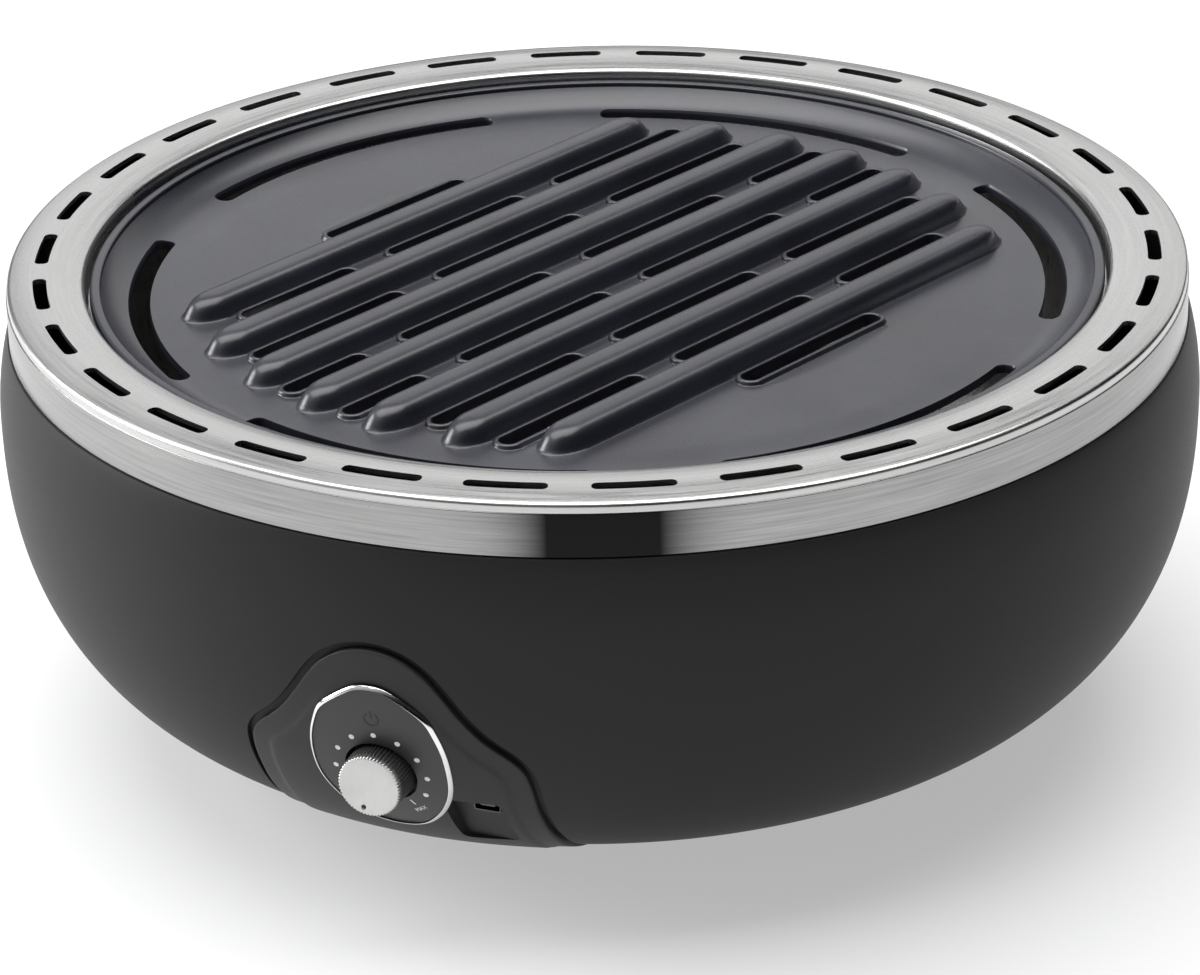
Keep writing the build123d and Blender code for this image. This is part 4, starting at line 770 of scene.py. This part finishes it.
def recessBlock(name, depth, reach, width, height, corner, rise=0.0):
    # block on the leaning floor of the recess
    r = recessShape
    lean = math.radians(r["lean"])
    origin = Vector((r["x"], -r["front"], r["z"]))
    out = Vector((0, -math.cos(lean), -math.sin(lean)))
    up = Vector((0, -math.sin(lean), math.cos(lean)))
    line = roundRect(width, height, corner)
    loops = []
    for share, push in ((0, depth), (1, depth), (1, reach), (0, reach)):
        middle = origin + Vector((-r["side"], 0, 0)) - up * r["drop"] + out * push
        lift = rise if push == reach else 0.0
        loops.append([tuple(middle + Vector((x * share, 0, 0)) + up * (z + (lift if z > 0 else 0)) * share)
                      for x, z in line])
    return loftLoops(name, loops)


def makeBand():
    section = [(169.5, 122.9), (170.6, 122.9), (170.82, 122.98), (170.9, 123.2), (170.9, 135.35), (170.87, 135.47),
               (170.78, 135.56), (170.65, 135.6), (164.9, 135.6), (164.9, 134.2), (169.5, 134.2)]
    band = lathe("rimBandSheet", section, bowlShape["segments"])
    smooth(band, 35)
    finish(band, "grill_base", "polished_steel", bandSteel, "rim_band")


ringShape = {
    "outer": 170.6,
    "inner": 148.4,
    "foot": 135.6,
    "top": 139.0,
    "middle": 161.0,
    "crownArc": 60.0,
    "sheet": 1.4,
    "ledge": 127.0,
    "ledgeRadius": 143.0,
    "slots": 30,
    "slotWidth": 4.0,
    "slotAngle": 8.0,
    "slotCorner": 1.7,
}


def crownPoint(radius, sheet=0.0):
    s = ringShape
    return (radius, s["top"] - s["crownArc"] + math.sqrt((s["crownArc"] - sheet) ** 2 - (radius - s["middle"]) ** 2))


def makeRing():
    s = ringShape
    low = s["ledge"] - s["sheet"]
    inside, collar = s["outer"] - s["sheet"], s["inner"] + s["sheet"]
    outline = [(s["outer"], s["foot"]), crownPoint(s["outer"]), crownPoint(164.6), crownPoint(162.8)]
    outline += [crownPoint(radius) for radius in (161.0, 159.2, 157.0, 154.6, 152.2)]
    outline += [crownPoint(s["inner"]), (s["inner"], 131.0), (s["inner"], s["ledge"]), (s["ledgeRadius"], s["ledge"]),
                (s["ledgeRadius"], low), (collar, low), (collar, 131.0), crownPoint(collar, s["sheet"])]
    outline += [crownPoint(radius, s["sheet"]) for radius in (153.0, 156.0, 159.0, 161.5, 164.0)]
    outline += [crownPoint(inside, s["sheet"]), (inside, s["foot"])]
    bends = [None] * len(outline)
    for index, bend in ((1, (2.6, 8)), (9, (1.7, 8)), (11, (0.8, 4)), (14, (2.0, 4)), (16, (0.6, 2)), (22, (1.1, 4))):
        bends[index] = bend
    ring = lathe("slottedTopRing", rounded(outline, bends), bowlShape["segments"])
    cutters = []
    for slot in range(s["slots"]):
        place = -90 + 360 / s["slots"] * slot
        line = arcSlotLine(s["middle"], s["slotWidth"], s["slotAngle"], s["slotCorner"], place)
        cutters.append(prism("slotCutter", line, 134, 142))
    cut(ring, joinPieces(cutters, "slotCutters"))
    smooth(ring, 32)
    finish(ring, "grill_base", "brushed_steel", ringSteel, "slotted_ring")


plateShape = {
    "field": 129.0,
    "gutter": 128.8,
    "gutterRadius": 132.0,
    "sheet": 2.5,
    "beadRadius": 147.0,
    "beadTop": 135.4,
    "beadBottom": 132.5,
    "beadWidth": 3.2,
    "wallTop": 133.95,
    "turn": 68.2,
    "reach": 120.0,
    "pitch": 23.2,
    "ribs": 7,
    "ribHalf": 6.5,
    "ribNose": 1.7,
    "ribProfile": [(7.6, -1.4), (7.3, -0.1), (6.95, 0.18), (6.6, 0.6), (6.25, 1.4), (5.8, 2.5), (5.25, 3.6),
                   (4.6, 4.45), (3.75, 5.06), (2.7, 5.38), (1.4, 5.5), (0.3, 5.5)],
    "slotHalf": 2.75,
    "lipProfile": [(5.2, -1.4), (4.9, -0.05), (4.6, 0.15), (4.42, 0.45), (4.25, 0.95), (3.95, 1.22), (3.5, 1.3)],
    "slotProfile": [(2.75, -9), (2.75, 0.85), (2.85, 1.08), (3.1, 1.24), (3.45, 1.31), (3.8, 1.6), (3.8, 4.0)],
    "spans": (((-0.96, -0.70), (-0.57, -0.07), (0.07, 0.57), (0.70, 0.96)),
              ((-0.87, -0.38), (-0.25, 0.25), (0.38, 0.87)),
              ((-0.85, -0.38), (-0.25, 0.22), (0.35, 0.72)),
              ((-0.24, 0.24),)),
    "arcSlots": 6,
    "arcRadius": 132.8,
    "arcWidth": 5.7,
    "arcAngle": 45.0,
    "arcCorner": 2.4,
    "arcStart": -92.5,
    "arcSteps": ((0, 118), (0, 128.2), (0.3, 128.75), (1.0, 129.35), (2.2, 130.2), (2.2, 131.5)),
}


def stadium(name, middle, half, end, profile, points=32, nose=1.0):
    # long rounded form along the ribs, from its profile of (half width, height over the field)
    loops = []
    for width, height in profile:
        loop = []
        for step in range(points):
            angle = 2 * math.pi * (step + 0.5) / points
            along = nose * width * math.cos(angle) + math.copysign(half - nose * end, math.cos(angle))
            x, y = turned(middle[0] + along, middle[1] + width * math.sin(angle), plateShape["turn"])
            loop.append((x, y, plateShape["field"] + height))
        loops.append(loop)
    return loftLoops(name, loops, capped=True)


def plateSection():
    # from the middle of the top out to the bead and back underneath
    p = plateShape
    inner = p["beadRadius"] - p["beadWidth"]
    run, rise = inner - p["gutterRadius"], p["wallTop"] - p["gutter"]
    arc = (run ** 2 + rise ** 2) / (2 * rise)
    far = math.asin(run / arc)
    section = [(radius, p["field"]) for radius in (0, 8, 14, 20, 26, 32, 38, 44, 50, 56, 62, 68, 74, 80, 86, 92, 98,
                                                   104, 109, 114, 118, 121)]
    section += [(125, p["gutter"] + 0.05), (128.5, p["gutter"])]
    for step in range(17):
        turn = far * step / 16
        section.append((p["gutterRadius"] + arc * math.sin(turn), p["gutter"] + arc * (1 - math.cos(turn))))
    bead = [section[-1], (inner, p["beadTop"]), (p["beadRadius"], p["beadTop"]), (p["beadRadius"], p["beadBottom"])]
    section += rounded(bead, [None, (1.4, 6), (1.3, 8), None])[1:]
    depth = arc - (p["beadBottom"] - p["gutter"])
    last = math.acos(depth / (arc + p["sheet"]))
    for step in range(8, -1, -1):
        turn = last * step / 8
        section.append((p["gutterRadius"] + (arc + p["sheet"]) * math.sin(turn),
                        p["gutter"] + arc - (arc + p["sheet"]) * math.cos(turn)))
    section += [(121, p["gutter"] - p["sheet"]), (60, p["field"] - p["sheet"]), (0, p["field"] - p["sheet"])]
    return section


def makePlate():
    p = plateShape
    plate = lathe("plateCasting", plateSection(), bowlShape["segments"], closed=False)
    ribs, lips, cutters = [], [], []
    for row in range(p["ribs"]):
        across = p["pitch"] * (row - p["ribs"] // 2)
        reach = math.sqrt(p["reach"] ** 2 - across ** 2)
        ribs.append(stadium("rib", (0, across), reach, p["ribHalf"], p["ribProfile"], 44, p["ribNose"]))
    for row, spans in enumerate(p["spans"]):
        for start, end in spans:
            for side in (-1, 1):
                middle = (side * (start + end) / 2 * p["reach"], -side * p["pitch"] * (row + 0.5))
                half = (end - start) / 2 * p["reach"]
                lips.append(stadium("lip", middle, half, p["slotHalf"], p["lipProfile"]))
                cutters.append(stadium("dripCutter", middle, half, p["slotHalf"], p["slotProfile"]))
    for slot in range(p["arcSlots"]):
        place = p["arcStart"] + 360 / p["arcSlots"] * slot
        loops = []
        for grow, height in p["arcSteps"]:
            line = arcSlotLine(p["arcRadius"], p["arcWidth"] + grow, p["arcAngle"] + grow / 2,
                               p["arcCorner"] + grow / 2, place)
            loops.append([(x, y, height) for x, y in line])
        cutters.append(loftLoops("arcCutter", loops, capped=True))
    cut(plate, joinPieces(ribs, "ribs"), "UNION")
    cut(plate, joinPieces(lips, "lips"), "UNION")
    cut(plate, joinPieces(cutters, "plateCutters"))
    smooth(plate, 38)
    useModifier(plate, "WEIGHTED_NORMAL", keep_sharp=True, weight=60)
    finish(plate, "cooking_plate", "nonstick_black", plateCoat, "grill_plate")


def makePanel():
    k, r = knobShape, recessShape
    panel = sideSolid("panelMoulding", panelLine, panelShape["edge"], panelShape["centre"], 12)
    turns = [math.tau * step / k["points"] for step in range(k["points"])]
    circle = [(k["cupRadius"] * math.cos(turn), k["cupRadius"] * math.sin(turn)) for turn in turns]
    cup = sideBlock("knobCup", circle, (0, k["height"]), k["cupBack"])
    mould = socketBlock("socketMould", r["mouldGap"])
    depth, side, corner = r["behind"]
    cut(mould, recessBlock("mouldBack", depth, -r["wall"], side, side, corner))
    cut(panel, cup, "UNION")
    cut(panel, mould, "UNION")
    cut(panel, knobDisc("wellCutter", k["wellRadius"], k["wellFloor"], k["beyond"], k["points"]))
    cut(panel, recessBlock("recessCutter", 0, r["reach"], r["width"], r["height"], r["corner"], r["rise"]))
    socket = [(x + r["x"], z + r["z"]) for x, z in roundRect(*r["socket"])]
    back, front = r["socketDepth"]
    loops = []
    for share, depth in ((0, back), (1, back), (1, front), (0, front)):
        loops.append([(r["x"] + (x - r["x"]) * share, -depth, r["z"] + (z - r["z"]) * share) for x, z in socket])
    cut(panel, loftLoops("socketCutter", loops))
    smooth(panel, 30)
    finish(panel, "grill_base", "panel_black", panelPlastic, "control_panel")


# Dial, right side from the top down, as measured in the photograph
dialShape = {
    "right": [(4.1, 81.9), (10.2, 78.2), (14.9, 74.1), (16.9, 69.9), (18.6, 63.9), (19.1, 57.5), (18.5, 51.2),
              (16.5, 45.6), (12.6, 39.6), (6.7, 34.3)],
    "top": (0, 82.5),
    "foot": (0, 32.8),
    "centre": (0, 56.0),
    "points": 160,
    "edge": [(0, 1.4), (0, 1.74), (0.06, 1.84), (0.2, 1.9), (0.6, 1.9)],
    "trim": [(0.05, 1.4), (0.05, 2.25), (0.1, 2.38), (0.22, 2.44), (0.42, 2.36), (0.75, 2.08), (1.05, 1.78),
             (1.16, 1.6), (1.18, 1.4)],
}


def dialOutline():
    right = dialShape["right"]
    left = [(-x, z) for x, z in reversed(right)]
    line = smoothOutline([dialShape["top"]] + right + [dialShape["foot"]] + left, 10)
    return resample(line, dialShape["points"])


def makeDial():
    k = knobShape
    line = dialOutline()
    dial = sideSolid("dialFace", line, dialShape["edge"], dialShape["centre"], 8)
    cut(dial, knobDisc("wellCutter", k["wellRadius"], k["throughFrom"], k["beyond"], k["points"]))
    smooth(dial, 30)
    finish(dial, "grill_base", "dial_grey", dialPlastic, "dial_plate")
    loops = [[onBowl(p.x, p.y, out) for p in grown(line, grow)] for grow, out in dialShape["trim"]]
    trim = loftLoops("dialTrimLine", loops + loops[:1])
    smooth(trim, 40)
    finish(trim, "grill_base", "trim_chrome", chromeTrim, "dial_trim")


markShape = {
    "circle": 13.23,
    "dotRadius": 0.78,
    "dotPoints": 20,
    "angles": (-90, -60, -30, 0, 30, 60, 90, 120),
    "maxAngle": 147,
    "face": 1.9,
    "thick": 0.05,
    "textHeight": 2.0,
    "textCircle": 15.6,
    "powerHeight": 73.2,
    "powerRadius": 2.0,
    "powerWidth": 0.55,
}


def aroundKnob(radius, degrees):
    angle = math.radians(degrees)
    return (radius * math.sin(angle), knobShape["height"] + radius * math.cos(angle))


def strip(name, path, width):
    # thin closed strip on the dial along a path of (x, z) points
    low, high = markShape["face"] - 0.1, markShape["face"] + markShape["thick"]
    points = [Vector(p) for p in path]
    loops = []
    for index, point in enumerate(points):
        along = (points[min(index + 1, len(points) - 1)] - points[max(index - 1, 0)]).normalized()
        side = Vector((-along.y, along.x)) * width / 2
        a, b = point + side, point - side
        loops.append([onBowl(*a, low), onBowl(*a, high), onBowl(*b, high), onBowl(*b, low)])
    first = [tuple(sum(c) / 4 for c in zip(*loops[0]))] * 4
    last = [tuple(sum(c) / 4 for c in zip(*loops[-1]))] * 4
    return loftLoops(name, [first] + loops + [last])


def makeMarks():
    m = markShape
    white = []
    for angle in m["angles"]:
        x, z = aroundKnob(m["circle"], angle)
        turns = [math.tau * step / m["dotPoints"] for step in range(m["dotPoints"])]
        line = [Vector((x + m["dotRadius"] * math.sin(turn), z + m["dotRadius"] * math.cos(turn))) for turn in turns]
        white.append(sideSolid("scaleDot", line, [(0, m["face"] - 0.1), (0, m["face"] + m["thick"])], (x, z), 2))
    white.append(strip("maxLine", [aroundKnob(radius, m["maxAngle"]) for radius in (11.5, 12.6, 13.6)], 0.4))
    bpy.ops.object.text_add()
    words = bpy.context.object
    words.data.body = "MAX"
    words.data.align_x = "CENTER"
    words.data.align_y = "CENTER"
    words.data.extrude = 1
    bpy.ops.object.convert(target="MESH")
    words = bpy.context.object
    x, z = aroundKnob(m["textCircle"], m["maxAngle"])
    for vertex in words.data.vertices:
        u, v = turned(vertex.co.x * m["textHeight"], vertex.co.y * m["textHeight"], 180 - m["maxAngle"])
        out = m["face"] + (m["thick"] if vertex.co.z > 0 else -0.1)
        vertex.co = Vector(onBowl(x + u, z + v, out)) * mm
    white.append(words)
    marks = joinPieces(white, "dialMarks")
    finish(marks, "grill_base", None, markWhite)
    arc = []
    for step in range(25):
        angle = math.radians(35 + 290 * step / 24)
        arc.append((m["powerRadius"] * math.sin(angle), m["powerHeight"] + m["powerRadius"] * math.cos(angle)))
    stem = [(0, m["powerHeight"] + 0.2), (0, m["powerHeight"] + 1.4), (0, m["powerHeight"] + 2.5)]
    power = joinPieces([strip("powerArc", arc, m["powerWidth"]), strip("powerStem", stem, m["powerWidth"])],
                       "powerMark")
    finish(power, "grill_base", None, markDark)


def toothedLoop(radius, share, forward):
    k = knobShape
    depth = share * k["toothDepth"]
    count = k["teeth"] * k["perTooth"]
    loop = []
    for step in range(count):
        angle = math.tau * step / count
        wave = 0.5 + 0.5 * math.cos(angle * k["teeth"])
        reach = radius - depth * (1 - wave ** 0.7)
        loop.append((reach * math.sin(angle), -forward, k["height"] + reach * math.cos(angle)))
    return loop


def makeKnob():
    k = knobShape
    piece = loftLoops("knobSkirtGrip", [toothedLoop(*step) for step in k["skirt"]])
    smooth(piece, 50)
    finish(piece, "knob", "knob_dark", knobPlastic, "knob_skirt")
    piece = loftLoops("knobCapDisc", [toothedLoop(*step) for step in k["cap"]])
    angle = math.radians(k["dotTurn"])
    dot = (k["dotCircle"] * math.cos(angle), k["height"] + k["dotCircle"] * math.sin(angle))
    cut(piece, lathe("dotCutter", k["dotHole"], 24, closed=False, centre=dot, along="Y"))
    smooth(piece, 40)
    finish(piece, "knob", "knob_silver", capSilver, "knob_cap")
    inlay = lathe("capDot", k["dotInlay"], 20, closed=False, centre=dot, along="Y")
    finish(inlay, "knob", None, markDark)


# Frame nodes whose shape stays as it is get their material here
nodeLooks = {
    "inner_bowl": sheetSteel, "ignition_tray": sheetSteel, "charcoal_basket": sheetSteel, "basket_lid": sheetSteel,
    "heat_shield": zincPlate, "fan_housing": housingPlastic, "fan_motor": turnedSteel, "motor_shaft": turnedSteel,
    "fan_rotor": rotorPlastic, "control_board": boardGreen, "potentiometer": turnedSteel,
    "potentiometer_nut": zincPlate, "knob_shaft": turnedSteel, "usb_socket": socketShell, "base_cover": coverPlastic,
    "rubber_feet": footRubber, "battery_box": housingPlastic, "battery_door": coverPlastic,
    "battery_cells": cellJacket, "battery_contacts": zincPlate, "housing_screws": zincPlate,
    "shield_screws": zincPlate, "base_screws": zincPlate, "box_screws": zincPlate, "board_screws": zincPlate,
}


def dressNodes():
    for name, look in nodeLooks.items():
        if not nodes[name].material_slots:
            nodes[name].data.materials.append(look)
        for place in nodes[name].material_slots:
            place.material = look
    print("frame nodes dressed:", len(nodeLooks))


dressNodes()
makeBowl()
makeBand()
makeRing()
makePlate()
makePanel()
makeDial()
makeMarks()
makeKnob()
